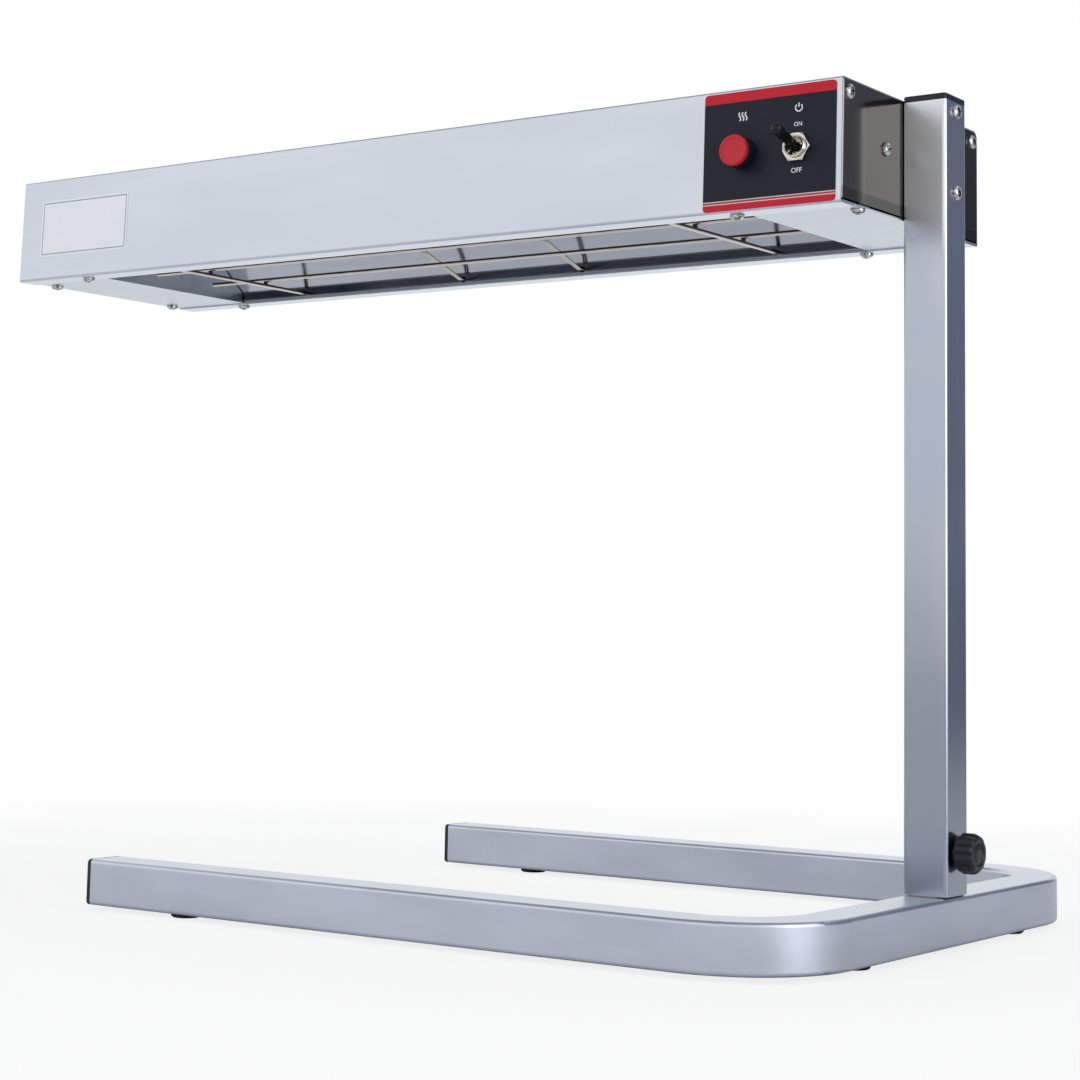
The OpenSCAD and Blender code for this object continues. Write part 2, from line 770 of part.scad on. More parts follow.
module element_supports() color("rosybrown") in_heater() for (x = support_places) {
    for (strand = [-1, 1]) translate([x + strand * strand_pitch / 2, 0, 0])
        bent_wire(support_line, support_wire_d);
    translate([x, wire_end_y, support_level])
        rotate_extrude(angle = 180, $fn = 96) translate([strand_pitch / 2, 0]) circle(d = support_wire_d);
}

element_left = -heater_length + cover_width - element_reach;
element_right = -cover_width + element_reach;

module heating_element() color("dimgray") in_heater()
    translate([element_left, 0, element_height]) rotate([0, 90, 0])
        cylinder(h = element_right - element_left, d = element_d);

module element_bushings() color("white") in_heater() for (end = [0, 1])
    translate([end == 0 ? -cover_width : -heater_length + cover_width, 0, element_height])
        mirror([end, 0, 0]) rotate([0, 90, 0]) difference() {
            union() {
                translate([0, 0, -2]) cylinder(h = 10, r = bushing_hole_r);
                translate([0, 0, -2]) cylinder(h = 2, r = bushing_hole_r + 2);
            }
            translate([0, 0, -3]) cylinder(h = 12, d = element_d + 2 * thread_play);
        }

module element_terminals() color("goldenrod") in_heater() for (end = [0, 1])
    translate([end == 0 ? element_right : element_left, 0, element_height])
        mirror([end, 0, 0]) rotate([0, 90, 0]) {
            cylinder(h = terminal_length, d = terminal_d);
            translate([0, 0, terminal_length - 5]) cylinder(h = 2.4, d = 6.4, $fn = 6);
        }

// Control panel and its fittings

module control_panel() color("midnightblue") difference() {
    on_front(-panel_inset - panel_width / 2, heater_height / cos(lean) / 2 - panel_drop)
        rotate([90, 0, 0]) linear_extrude(height = panel_sheet)
            rounded_section(panel_width, panel_height, panel_edge);
    on_front(-switch_inset, controls_up) translate([0, 5, 0]) rotate([90, 0, 0])
        cylinder(h = 10, d = bushing_d + 2 * hole_play);
    on_front(-lamp_inset, controls_up) translate([0, 5, 0]) rotate([90, 0, 0])
        cylinder(h = 10, d = lamp_neck_d + 2 * hole_play);
}

module label_blank() color("whitesmoke")
    on_front(-heater_length + label_inset, label_up) translate([0, -0.2, 0])
        cube([label_width, 0.2, label_height]);

// Turned pieces on the panel: z points out of the wall
module out_of_panel(x) {
    on_front(x, controls_up) rotate([90, 0, 0]) children();
}

module indicator_lens() color("crimson") out_of_panel(-lamp_inset) translate([0, 0, bezel_out]) {
    cylinder(h = lens_out - lens_bevel, d = lens_d);
    translate([0, 0, lens_out - lens_bevel])
        cylinder(h = lens_bevel, d1 = lens_d, d2 = lens_d - 2 * lens_bevel);
}

module indicator_bezel() color("black") out_of_panel(-lamp_inset) {
    translate([0, 0, panel_sheet]) cylinder(h = bezel_out - panel_sheet, d = lens_d + 0.4);
    translate([0, 0, -lamp_neck_end]) cylinder(h = lamp_neck_end + panel_sheet, d = lamp_neck_d);
}

module indicator_nut() color("silver") out_of_panel(-lamp_inset)
    translate([0, 0, -sheet - nut_h]) hex_nut(16, nut_h, lamp_neck_d + 2 * thread_play);

module indicator_body() color("white") out_of_panel(-lamp_inset)
    translate([0, 0, -lamp_body_end]) cylinder(h = lamp_body_end - lamp_neck_end, d = lamp_body_d);

module switch_body() color("darkred") out_of_panel(-switch_inset)
    translate([-switch_w / 2, -switch_h / 2, -switch_seat - switch_deep])
        cube([switch_w, switch_h, switch_deep]);

module switch_terminals() color("goldenrod") out_of_panel(-switch_inset) for (side = [-1, 1])
    translate([-3.15, side * blade_pitch / 2 - 0.4, -switch_seat - switch_deep - blade_length])
        cube([6.3, 0.8, blade_length]);

module switch_bushing() color("silver") out_of_panel(-switch_inset) difference() {
    translate([0, 0, -switch_seat]) cylinder(h = bushing_out + switch_seat, d = bushing_d);
    translate([0, 0, -switch_seat + 0.5]) cylinder(h = bushing_out + switch_seat, d = bushing_bore_d);
    translate([0, 0, -pivot_y]) rotate([0, 90, 0])
        cylinder(h = 2 * bushing_d, d = pivot_d + 2 * thread_play, center = true);
}

module switch_nut() color("silver") out_of_panel(-switch_inset)
    translate([0, 0, panel_sheet]) hex_nut(switch_nut_flats, 2.8, bushing_d + 2 * thread_play);

// z runs from the pivot to the tip of the lever
module along_lever() {
    out_of_panel(-switch_inset) translate([0, 0, -pivot_y]) rotate([-lever_angle, 0, 0]) children();
}

module switch_lever() color("dimgray") along_lever() {
    sphere(d = ball_d);
    rotate([0, 90, 0]) cylinder(h = pivot_length, d = pivot_d, center = true);
    cylinder(h = lever_length - 4, d = lever_d);
}

module lever_sleeve() color("black") along_lever() difference() {
    union() {
        translate([0, 0, sleeve_start])
            cylinder(h = lever_length - 2 - sleeve_start, d1 = sleeve_d - 0.6, d2 = sleeve_d);
        translate([0, 0, lever_length - 2]) cylinder(h = 2, d1 = sleeve_d, d2 = sleeve_d - 2.4);
    }
    translate([0, 0, sleeve_start - 1]) cylinder(h = lever_length - 2.9 - sleeve_start, d = lever_d + 2 * thread_play);
}

// Wiring in the right end

module terminal_block() color("ivory") in_heater()
    translate([block_x, block_y, cover_top]) difference() {
        cube(block_size);
        for (i = [0 : 3]) translate([4 + i * 6.6, block_size.y / 2, 0]) {
            translate([0, 0, block_size.z - 6]) cylinder(h = 7, d = 4.6);
            translate([0, -block_size.y / 2 - 1, block_lead_z - cover_top]) rotate([-90, 0, 0])
                cylinder(h = 7, d = lead_d + 2 * lead_gap);
        }
    }

module terminal_screws() color("silver") in_heater() for (i = [0 : 3])
    translate([block_x + 4 + i * 6.6, block_y + block_size.y / 2, cover_top + block_size.z - 6])
        difference() {
            cylinder(h = 3, d = 4.2);
            translate([-3, -0.4, 2]) cube([6, 0.8, 2]);
        }

// A lead: rings of eight points along a line with rounded corners
function corner3(a, b, c, r, steps) =
    let (
        u = unit(a - b),
        v = unit(c - b),
        half = acos(between(u * v, -1, 1)) / 2,
        reach = r / tan(half),
        centre = b + unit(u + v) * r / sin(half),
        from = b + u * reach - centre,
        to = b + v * reach - centre,
        turn = 180 - 2 * half
    )
    [for (i = [0 : steps])
        centre + (from * sin(turn * (1 - i / steps)) + to * sin(turn * i / steps)) / sin(turn)];

function lead_line(points, r) = [
    points[0],
    for (i = [1 : len(points) - 2]) for (p = corner3(points[i - 1], points[i], points[i + 1], r, 4)) p,
    points[len(points) - 1]
];

module lead(points, r = 5) {
    line = lead_line(points, r);
    last = len(line) - 1;
    sides = 8;
    function heading(i) = unit(line[min(i + 1, last)] - line[max(i - 1, 0)]);
    // The side vector is carried along the line, so that the rings don't twist
    function across(v, along) = unit(v - along * (v * along));
    sidewise = [for (i = 0, s = across([0.31, 0.52, 0.79], heading(0)); i <= last;
        i = i + 1, s = across(s, heading(min(i, last)))) s];
    rings = [for (i = [0 : last], k = [0 : sides - 1])
        let (up = cross(heading(i), sidewise[i]))
        line[i] + lead_d / 2 * (sidewise[i] * cos(360 * k / sides) + up * sin(360 * k / sides))];
    walls = [for (i = [0 : last - 1], k = [0 : sides - 1])
        let (a = i * sides + k, b = i * sides + (k + 1) % sides)
        each [[a, a + sides, b], [b, a + sides, b + sides]]];
    caps = [
        for (k = [1 : sides - 2]) [0, k, k + 1],
        for (k = [1 : sides - 2]) [last * sides, last * sides + k + 1, last * sides + k]
    ];
    polyhedron(points = rings, faces = concat(walls, caps));
}

blade_end = switch_seat + switch_deep + blade_length + lead_gap;
blade_low = front_point(-switch_inset, blade_end, controls_up - blade_pitch / 2);
blade_high = front_point(-switch_inset, blade_end, controls_up + blade_pitch / 2);
lamp_back = front_point(-lamp_inset, lamp_body_end + lead_gap, controls_up);
function block_entry(i) = [block_x + 4 + i * 6.6, block_y + 4, block_lead_z];
right_terminal = [element_right + terminal_length + lead_gap, 0, element_height];
left_terminal = [element_left - terminal_length - lead_gap, 0, element_height];
over_reflector = trough_depth + 12;

module lead_wires() color("saddlebrown") in_heater() {
    lead([block_entry(3), block_entry(3) - [0, 14, 0],
        [block_entry(3).x, blade_low.y + 14, blade_low.z], blade_low]);
    lead([blade_high, blade_high + [0, 12, 0], [-switch_inset, -14, element_height],
        [-switch_inset + 0.5, -0.5, element_height], right_terminal + [0.5, 0, 0]]);
    lead([block_entry(0), block_entry(0) - [0, 11, 0], [block_entry(0).x, 8, over_reflector],
        [left_terminal.x - 14, 8, over_reflector], left_terminal - [14, 0, 0], left_terminal]);
    lead([lamp_back + [3, 0, 3], lamp_back + [3, 9, 3], [block_entry(1).x, -22, 18],
        block_entry(1) - [0, 13, 0], block_entry(1)]);
    lead([lamp_back + [3, 0, -3], lamp_back + [3, 10, -3], block_entry(2) - [0, lead_sweep, 0], block_entry(2)]);
}

module cable_gland() color("black") in_heater()
    translate([-gland_inset, rear_wall, gland_z]) rotate([-90, 0, 0]) difference() {
        union() {
            translate([0, 0, -gland_inside]) cylinder(h = gland_inside, d = gland_d);
            cylinder(h = gland_collar, d = gland_flats / cos(30), $fn = 6);
            translate([0, 0, gland_collar]) cylinder(h = gland_nose, d1 = gland_flats, d2 = gland_flats - 3);
        }
        translate([0, 0, -gland_inside - 1])
            cylinder(h = gland_inside + gland_collar + gland_nose + 2, d = gland_bore_d);
    }

module gland_nut() color("silver") in_heater()
    translate([-gland_inset, rear_wall - sheet - nut_h, gland_z]) rotate([-90, 0, 0])
        hex_nut(gland_flats, nut_h, gland_d + 2 * thread_play);

module earth_stud() color("goldenrod") in_heater() translate([earth_x, earth_y, cover_top]) {
    cylinder(h = 12, d = screw_d);
    cylinder(h = nut_h, d = nut_flats / cos(30), $fn = 6);
}

base_frame();
leg_end_caps();
feet();
post_stub();
post();
post_cap();
post_bolts();
post_nuts();
clamp_nut();
clamp_stud();
clamp_knob();
housing();
end_plate_left();
end_plate_right();
bottom_cover_left();
bottom_cover_right();
backing_plate();
backing_screws();
end_plate_screws();
cover_screws();
lip_screws();
lip_nuts();
reflector();
reflector_end_left();
reflector_end_right();
wire_guard();
element_supports();
heating_element();
element_bushings();
element_terminals();
control_panel();
label_blank();
indicator_lens();
indicator_bezel();
indicator_nut();
indicator_body();
switch_body();
switch_terminals();
switch_bushing();
switch_nut();
switch_lever();
lever_sleeve();
terminal_block();
terminal_screws();
lead_wires();
cable_gland();
gland_nut();
earth_stud();
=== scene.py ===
import math

import bmesh
import bpy
from mathutils import Matrix, Vector


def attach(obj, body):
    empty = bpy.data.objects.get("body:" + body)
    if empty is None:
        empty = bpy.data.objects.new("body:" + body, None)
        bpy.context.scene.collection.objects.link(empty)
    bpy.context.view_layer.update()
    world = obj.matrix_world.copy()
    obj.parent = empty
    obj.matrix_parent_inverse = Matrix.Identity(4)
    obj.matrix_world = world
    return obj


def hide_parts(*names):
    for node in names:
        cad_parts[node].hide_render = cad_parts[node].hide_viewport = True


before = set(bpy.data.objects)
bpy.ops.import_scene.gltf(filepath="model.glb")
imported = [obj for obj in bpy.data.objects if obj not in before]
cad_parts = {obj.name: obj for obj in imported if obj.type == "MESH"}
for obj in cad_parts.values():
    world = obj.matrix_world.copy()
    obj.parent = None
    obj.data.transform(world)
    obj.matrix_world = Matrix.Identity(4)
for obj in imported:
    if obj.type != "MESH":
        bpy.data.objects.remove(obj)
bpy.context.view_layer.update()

# The room: a pale floor that runs into a white backdrop, soft lamps, and dark cards
# beside the lamp, so that its bare steel has something to reflect.


class Socket:
    """An output of a shader node, which can stand in a sum."""

    def __init__(self, shader, output):
        self.shader = shader
        self.output = output

    def maths(self, operation, *others):
        values = dict(enumerate((self, *others)))
        return self.shader.node("ShaderNodeMath", {"operation": operation}, values)

    def __add__(self, other):
        return self.maths("ADD", other)

    def __sub__(self, other):
        return self.maths("SUBTRACT", other)

    def __rsub__(self, other):
        return self * -1 + other

    def __mul__(self, other):
        return self.maths("MULTIPLY", other)

    def __truediv__(self, other):
        return self.maths("DIVIDE", other)

    __radd__ = __add__
    __rmul__ = __mul__

    def root(self):
        return self.maths("SQRT")

    def size(self):
        return self.maths("ABSOLUTE")

    def most(self, other):
        return self.maths("MAXIMUM", other)

    def rise(self, start, end):
        """Goes smoothly from 0 at start to 1 at end."""
        settings = {"interpolation_type": "SMOOTHSTEP"}
        return self.shader.node("ShaderNodeMapRange", settings, {0: self, 1: start, 2: end})


class Shader:
    """The node tree of a material or of the world."""

    def __init__(self, tree):
        self.tree = tree
        tree.nodes.clear()

    def node(self, kind, settings=None, values=None, output=0):
        made = self.tree.nodes.new(kind)
        for name, value in (settings or {}).items():
            setattr(made, name, value)
        for key, value in (values or {}).items():
            self.plug(made.inputs[key], value)
        return Socket(self, made.outputs[output]) if len(made.outputs) else None

    def plug(self, socket, value):
        if isinstance(value, Socket):
            self.tree.links.new(value.output, socket)
        elif socket.type == "RGBA":
            socket.default_value = (*value[:3], 1)
        else:
            socket.default_value = value


class Finish(Shader):
    """A material laid out in the part's own frame."""

    def __init__(self, name, **constants):
        self.material = bpy.data.materials.new(name)
        self.material.use_nodes = True
        super().__init__(self.material.node_tree)
        self.surface = self.tree.nodes.new("ShaderNodeBsdfPrincipled")
        self.result = self.tree.nodes.new("ShaderNodeOutputMaterial").inputs[0]
        self.plug(self.result, Socket(self, self.surface.outputs[0]))
        self.set(**constants)
        self.place = self.node("ShaderNodeTexCoord", {}, {}, "Object")

    def set(self, **values):
        for name, value in values.items():
            self.plug(self.surface.inputs[name.replace("_", " ")], value)

    def axes(self):
        return [self.node("ShaderNodeSeparateXYZ", {}, {0: self.place}, axis) for axis in "XYZ"]

    def stretched(self, stretch):
        return self.node("ShaderNodeVectorMath", {"operation": "MULTIPLY"}, {0: self.place, 1: stretch})

    def noise(self, scale, stretch=(1, 1, 1), detail=3):
        values = {"Vector": self.stretched(stretch), "Scale": scale, "Detail": detail}
        return self.node("ShaderNodeTexNoise", {}, values)

    def mix(self, share, first, second):
        return self.node("ShaderNodeMix", {"data_type": "RGBA"}, {0: share, 6: first, 7: second}, 2)

    def relief(self, height, depth, strength=1.0):
        values = {"Strength": strength, "Distance": depth, "Height": height}
        return self.node("ShaderNodeBump", {}, values)


scene = bpy.context.scene
scene.view_settings.view_transform = "Standard"

world = bpy.data.worlds.new("room")
world.use_nodes = True
scene.world = world
sky = Shader(world.node_tree)


def ray(shader, kind):
    return shader.node("ShaderNodeLightPath", {}, {}, "Is " + kind + " Ray")


# Lamps give part of the light, so the white room gives the rest at half its strength
sky_light = 0.5
sky_seen = ray(sky, "Camera").most(ray(sky, "Glossy")).most(ray(sky, "Transmission"))
background = sky.node("ShaderNodeBackground", {}, {
    "Color": (1, 1, 1), "Strength": sky_seen * (1 - sky_light) + sky_light})
sky.node("ShaderNodeOutputWorld", {}, {0: background})


def new_object(name, mesh):
    made = bpy.data.objects.new(name, mesh)
    scene.collection.objects.link(made)
    return made


def aimed(origin, direction, spin=0.0):
    """A frame at a point whose z axis looks along a direction."""
    looking = Vector(direction).to_track_quat("Z", "Y").to_matrix().to_4x4()
    return Matrix.Translation(origin) @ looking @ Matrix.Rotation(math.radians(spin), 4, "Z")


def flat_card(name, place, width, height):
    """A card in the x and y plane of a frame."""
    mesh = bpy.data.meshes.new(name)
    corners = [(-width / 2, -height / 2, 0), (width / 2, -height / 2, 0),
               (width / 2, height / 2, 0), (-width / 2, height / 2, 0)]
    mesh.from_pydata(corners, [], [(0, 1, 2, 3)])
    card = new_object(name, mesh)
    card.matrix_world = place
    return card


# Seen straight on, the paper is white but for a faint shadow. In reflections it is pale grey
# but for the part behind the lamp on the left, which is white.
floor = flat_card("floor", Matrix(), 24, 24)
floor_finish = Finish("floor_paper")
floor_x, floor_y, _ = floor_finish.axes()
away = (floor_x * floor_x + floor_y * floor_y).root()
plainly_seen = ray(floor_finish, "Camera").most(ray(floor_finish, "Transmission"))
share_white = (away.rise(0.3, 1.0) * 0.18 + 0.82) * plainly_seen
white_behind = floor_y.rise(0.2, 0.9) * (1 - floor_x.rise(0.0, 0.4))
share_white = share_white.most(white_behind * ray(floor_finish, "Glossy"))
paper = floor_finish.node("ShaderNodeBsdfDiffuse", {}, {"Color": (0.60, 0.61, 0.64)})
white = floor_finish.node("ShaderNodeEmission", {}, {"Color": (1, 1, 1), "Strength": 1.0})
floor_mix = floor_finish.node("ShaderNodeMixShader", {}, {0: share_white, 1: paper, 2: white})
floor_finish.plug(floor_finish.result, floor_mix)
floor.data.materials.append(floor_finish.material)


def reflected_card(name, centre, facing, size, dark, light):
    """A card of dim paper that only shows in reflections."""
    card = flat_card(name, aimed(centre, facing), *size)
    finish = Finish(name + "_paper", Roughness=1.0, Base_Color=(0.02, 0.02, 0.03),
                    Emission_Strength=1.0)
    finish.set(Emission_Color=finish.mix(finish.noise(1.4), dark, light))
    card.data.materials.append(finish.material)
    card.visible_camera = False
    card.visible_shadow = False
    card.visible_diffuse = False


reflected_card("dark_corner", (1.35, 1.75, 0.75), (-0.6, -0.8, 0), (2.3, 2.6),
               (0.10, 0.11, 0.15), (0.22, 0.24, 0.31))
reflected_card("dim_ceiling", (-0.3, -0.1, 2.2), (0, 0, -1), (4.0, 3.4),
               (0.28, 0.31, 0.38), (0.36, 0.40, 0.48))


def soft_lamp(name, place, target, size, power):
    light = bpy.data.lights.new(name, "AREA")
    light.shape = "RECTANGLE"
    light.size, light.size_y = size
    light.energy = power
    lamp = new_object(name, light)
    lamp.matrix_world = aimed(place, Vector(place) - Vector(target))
    lamp.visible_camera = False
    return lamp


for lamp in (soft_lamp("key_lamp", (-1.3, -2.0, 1.6), (0, 0, 0.25), (1.6, 1.6), 26),
             soft_lamp("top_lamp", (0.1, 0.2, 2.1), (0, 0, 0.2), (1.8, 1.4), 22)):
    lamp.visible_glossy = False
soft_lamp("side_lamp", (2.07, -0.3, 0.5), (0.28, -0.14, 0.1), (1.1, 1.0), 9)

camera_data = bpy.data.cameras.new("camera")
camera_data.sensor_width = 36
camera_data.lens = 78.296
camera_data.shift_x = 0.0003
camera_data.shift_y = -0.1761
camera = new_object("camera", camera_data)
camera_place = (0.84759, -1.14664, 0.16498)
heading, tilt, roll = (math.radians(turn) for turn in (35.1325, 96.6566, 1.04327))
camera.matrix_world = (
    Matrix.Translation(camera_place)
    @ Matrix.Rotation(heading, 4, "Z")
    @ Matrix.Rotation(tilt, 4, "X")
    @ Matrix.Rotation(roll, 4, "Z"))
scene.camera = camera

# The base: one length of inch-square steel tube, bent to a U that lies on the table
# and brushed along its length. The CAD solids carry the finish.

mm = 0.001


def dress(finish, *names):
    """Gives CAD nodes a finish."""
    for name in names:
        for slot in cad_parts[name].material_slots:
            slot.material = finish.material


base_length = 453 * mm
post_face = 312.85 * mm
tube = 25.4 * mm
bend_radius = 62 * mm

base_steel = Finish("base_steel", Metallic=1.0)
base_x, _, _ = base_steel.axes()
past_bend = base_x.rise(post_face - bend_radius, post_face - 0.3 * bend_radius)
along_legs = base_steel.noise(900, (0.02, 1, 1), 4)
along_crosspiece = base_steel.noise(900, (1, 0.02, 1), 4)
base_lines = along_legs + (along_crosspiece - along_legs) * past_bend
base_cloud = base_steel.noise(14, (1, 1, 3), 2)
base_steel.set(
    Base_Color=base_steel.mix(base_cloud.rise(0.3, 0.7), (0.56, 0.60, 0.68), (0.62, 0.66, 0.75)),
    Roughness=base_lines * 0.12 + base_cloud * 0.08 + 0.22,
    Normal=base_steel.relief(base_lines, 0.012 * mm))
dress(base_steel, "base_frame")

# The end caps and feet: black moulded plugs pushed into the open leg ends, and low glides
# pressed into holes under the tube.


def ring_point(radius, turn, height):
    return (radius * math.cos(turn), radius * math.sin(turn), height)


def round_ring(radius, height, sides=48):
    return [ring_point(radius, math.tau * k / sides, height) for k in range(sides)]


class Form:
    """A mesh put together from rings of points."""

    def __init__(self):
        self.points = []
        self.faces = []
        self.finish_of = []

    def add(self, points, faces, place=Matrix(), finish_of=None):
        start = len(self.points)
        self.points += [place @ Vector(point) for point in points]
        self.faces += [tuple(start + i for i in face) for face in faces]
        self.finish_of += finish_of or [0] * len(faces)
        return self

    def rings(self, rings, place=Matrix(), closed=False):
        """Joins the rings in turn. A closed row of rings has no end faces."""
        count = len(rings[0])
        points = [point for ring in rings for point in ring]
        faces = []
        for i in range(len(rings) - (0 if closed else 1)):
            low, high = i * count, (i + 1) % len(rings) * count
            for k in range(count):
                after = (k + 1) % count
                faces.append((low + k, low + after, high + after, high + k))
        if not closed:
            faces += [tuple(reversed(range(count))), tuple(range(len(points) - count, len(points)))]
        return self.add(points, faces, place)

    def turned(self, profile, sides=48, place=Matrix()):
        """Turns a profile of radius and height about z."""
        return self.rings([round_ring(radius, height, sides) for radius, height in profile], place)

    def mesh(self, name):
        mesh = bpy.data.meshes.new(name)
        mesh.from_pydata([tuple(point) for point in self.points], [], self.faces)
        mesh.polygons.foreach_set("material_index", self.finish_of)
        shape = bmesh.new()
        shape.from_mesh(mesh)
        bmesh.ops.recalc_face_normals(shape, faces=shape.faces)
        shape.to_mesh(mesh)
        shape.free()
        return mesh

    def fit(self, name, finish, body, slot, *replaced, crease=32, second=None):
        """Makes the piece, which rides on a body and may stand for CAD nodes."""
        mesh = self.mesh(name)
        for used in filter(None, (finish, second)):
            mesh.materials.append(used.material)
        mesh.shade_smooth()
        mesh.set_sharp_from_angle(angle=math.radians(crease))
        piece = new_object(name, mesh)
        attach(piece, body)
        if replaced:
            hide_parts(*replaced)


base_wall = 1.5 * mm
tube_edge = 2.2 * mm
foot_height = 2.5 * mm
leg_cap_head = 3 * mm
leg_cap_plug = 12 * mm
base_width = 360 * mm
foot_d = 17 * mm
foot_stem_d = 6 * mm
foot_stem_h = 6.5 * mm
leg_foot_inset = 66 * mm
cross_foot_y = 92 * mm
plug_play = 0.05 * mm
cap_bevel = 0.7 * mm


def rounded_square(half, edge, height):
    """A ring of points round a square with rounded corners, at a height."""
    ring = []
    steps = 6
    for quarter in range(4):
        for i in range(steps + 1):
            turn = math.radians(90 * (quarter + i / steps))
            centre = [(1, 1), (-1, 1), (-1, -1), (1, -1)][quarter]
            ring.append(((half - edge) * centre[0] + edge * math.cos(turn),
                         (half - edge) * centre[1] + edge * math.sin(turn), height))
    return ring


def plug_rings(head, depth, wall):
    """A moulded cap: plug below z = 0, head with a rounded rim above it."""
    plug_half = tube / 2 - wall - plug_play
    rings = [rounded_square(plug_half - 0.4 * mm, 1.2 * mm, -depth),
             rounded_square(plug_half, 1.5 * mm, -depth + 0.8 * mm),
             rounded_square(plug_half, 1.5 * mm, 0),
             rounded_square(tube / 2, tube_edge, 0)]
    for i in range(5):
        turn = math.radians(90 * i / 4)
        inset = cap_bevel * (1 - math.cos(turn))
        height = head - cap_bevel + cap_bevel * math.sin(turn)
        rings.append(rounded_square(tube / 2 - inset, tube_edge - inset, height))
    return rings


black_plastic = Finish("black_plastic", Metallic=0.0, Specular_IOR_Level=0.28, Coat_Weight=0.2,
                       Coat_Roughness=0.1)
plastic_grain = black_plastic.noise(2600, detail=2)
plastic_cloud = black_plastic.noise(60)
black_plastic.set(
    Base_Color=black_plastic.mix(plastic_cloud, (0.003, 0.004, 0.007), (0.009, 0.010, 0.015)),
    Roughness=plastic_cloud * 0.2 + 0.28,
    Normal=black_plastic.relief(plastic_grain, 0.02 * mm, 0.5))

leg_caps = Form()
cap_x = post_face - base_length + leg_cap_head
for side in (-1, 1):
    place = Matrix.Translation((cap_x, side * (base_width - tube) / 2, foot_height + tube / 2))
    leg_caps.rings(plug_rings(leg_cap_head, leg_cap_plug, base_wall),
                   place @ Matrix.Rotation(math.radians(-90), 4, "Y"))
leg_caps.fit("leg_caps", black_plastic, "stand", "black_plastic", "leg_end_caps")

rubber = Finish("black_rubber", Metallic=0.0)
rubber_dust = rubber.noise(300)
rubber.set(
    Base_Color=rubber.mix(rubber_dust.rise(0.4, 0.8), (0.008, 0.008, 0.010), (0.03, 0.03, 0.032)),
    Roughness=rubber_dust * 0.2 + 0.6,
    Normal=rubber.relief(rubber.noise(1800), 0.03 * mm))

glides = Form()
foot_r = foot_d / 2
stem_r = foot_stem_d / 2
foot_top = foot_height - 0.02 * mm
glide_profile = [
    (foot_r - 2.2 * mm, 0), (foot_r - 1.2 * mm, 0.12 * mm), (foot_r - 0.3 * mm, 0.7 * mm),
    (foot_r, 1.4 * mm), (foot_r, foot_height - 0.3 * mm), (foot_r - 0.2 * mm, foot_top),
    (stem_r, foot_top), (stem_r, foot_height + foot_stem_h - 1.0 * mm),
    (stem_r - 0.8 * mm, foot_height + foot_stem_h)]
leg_foot_x = post_face - base_length + leg_foot_inset
foot_places = [(leg_foot_x, side * (base_width - tube) / 2, 0) for side in (-1, 1)]
foot_places += [(post_face - tube / 2, side * cross_foot_y, 0) for side in (-1, 1)]
for place in foot_places:
    glides.turned(glide_profile, place=Matrix.Translation(place))
glides.fit("glides", rubber, "stand", "black_rubber", "feet")

# The stub: a shorter tube welded to the base, which the post slides over. Heat has
# tinted it straw and brown.

stub_steel = Finish("stub_steel", Metallic=1.0)
stub_tint = stub_steel.noise(120)
stub_steel.set(
    Base_Color=stub_steel.mix(stub_tint, (0.30, 0.25, 0.20), (0.50, 0.44, 0.36)),
    Roughness=stub_tint * 0.2 + 0.3,
    Normal=stub_steel.relief(stub_steel.noise(900, (1, 1, 0.03)), 0.01 * mm))
dress(stub_steel, "post_stub")

# The post: inch-square steel tube brushed along its height, with faint bluish and rosy
# streaks, closed by a black cap. Its colour is darkened near its foot as painted shade,
# and lightened beside the heater as a painted highlight.

post_steel = Finish("post_steel", Metallic=1.0)
post_lines = post_steel.noise(1100, (1, 1, 0.015), 4)
post_streaks = post_steel.noise(150, (1, 1, 0.02), 2)
post_cloud = post_steel.noise(9, (2, 2, 1), 2)
_, post_y, post_z = post_steel.axes()
blue_steel = post_steel.mix(post_cloud.rise(0.3, 0.7), (0.44, 0.49, 0.58), (0.53, 0.56, 0.63))
streaked = post_steel.mix(post_streaks.rise(0.55, 0.8) * 0.5, blue_steel, (0.62, 0.55, 0.62))
# Painted shade: the colour darkens towards the foot of the post.
painted_shade_foot = post_steel.mix(post_z.rise(0.24, 0.10) * 0.22, streaked, (0.08, 0.08, 0.09))
# Painted highlight: the front face beside the heater is lightened, and rougher there.
painted_highlight_top = post_z.rise(0.36, 0.39) * (1 - post_y.rise(-12.5 * mm, -11 * mm))
post_steel.set(
    Base_Color=post_steel.mix(painted_highlight_top * 0.65, painted_shade_foot, (0.88, 0.91, 0.95)),
    Roughness=post_lines * 0.05 + post_cloud * 0.05 + painted_highlight_top * 0.1 + 0.17,
    Normal=post_steel.relief(post_lines, 0.004 * mm))
dress(post_steel, "post")

post_wall = 1.2 * mm
post_top = 449 * mm
post_cap_head = 3.5 * mm
post_cap_plug = 12 * mm
post_cap = Form()
post_cap.rings(plug_rings(post_cap_head, post_cap_plug, post_wall),
               Matrix.Translation((post_face - tube / 2, 0, post_top)))
post_cap.fit("post_top_cap", black_plastic, "mast", "black_plastic", "post_cap")

# The clamp: a steel screw through a nut welded inside the post, with a fluted black knob
# moulded on its end. It presses on the stub and holds the height.


def mottled(name, scale, first, second, roughness, relief, detail=3, **constants):
    """A finish whose colour, roughness and relief follow one fine noise."""
    finish = Finish(name, **constants)
    stain = finish.noise(scale, detail=detail)
    least, spread = roughness
    finish.set(
        Base_Color=finish.mix(stain, first, second),
        Roughness=stain * spread + least,
        Normal=finish.relief(stain, relief))
    return finish


clamp_steel = mottled("clamp_steel", 400, (0.45, 0.45, 0.46), (0.62, 0.62, 0.60),
                      (0.25, 0.2), 0.02 * mm, Metallic=1.0)
dress(clamp_steel, "clamp_nut", "clamp_stud")

clamp_z = 50.5 * mm
knob_flutes = 10
knob_gap = 1.2 * mm


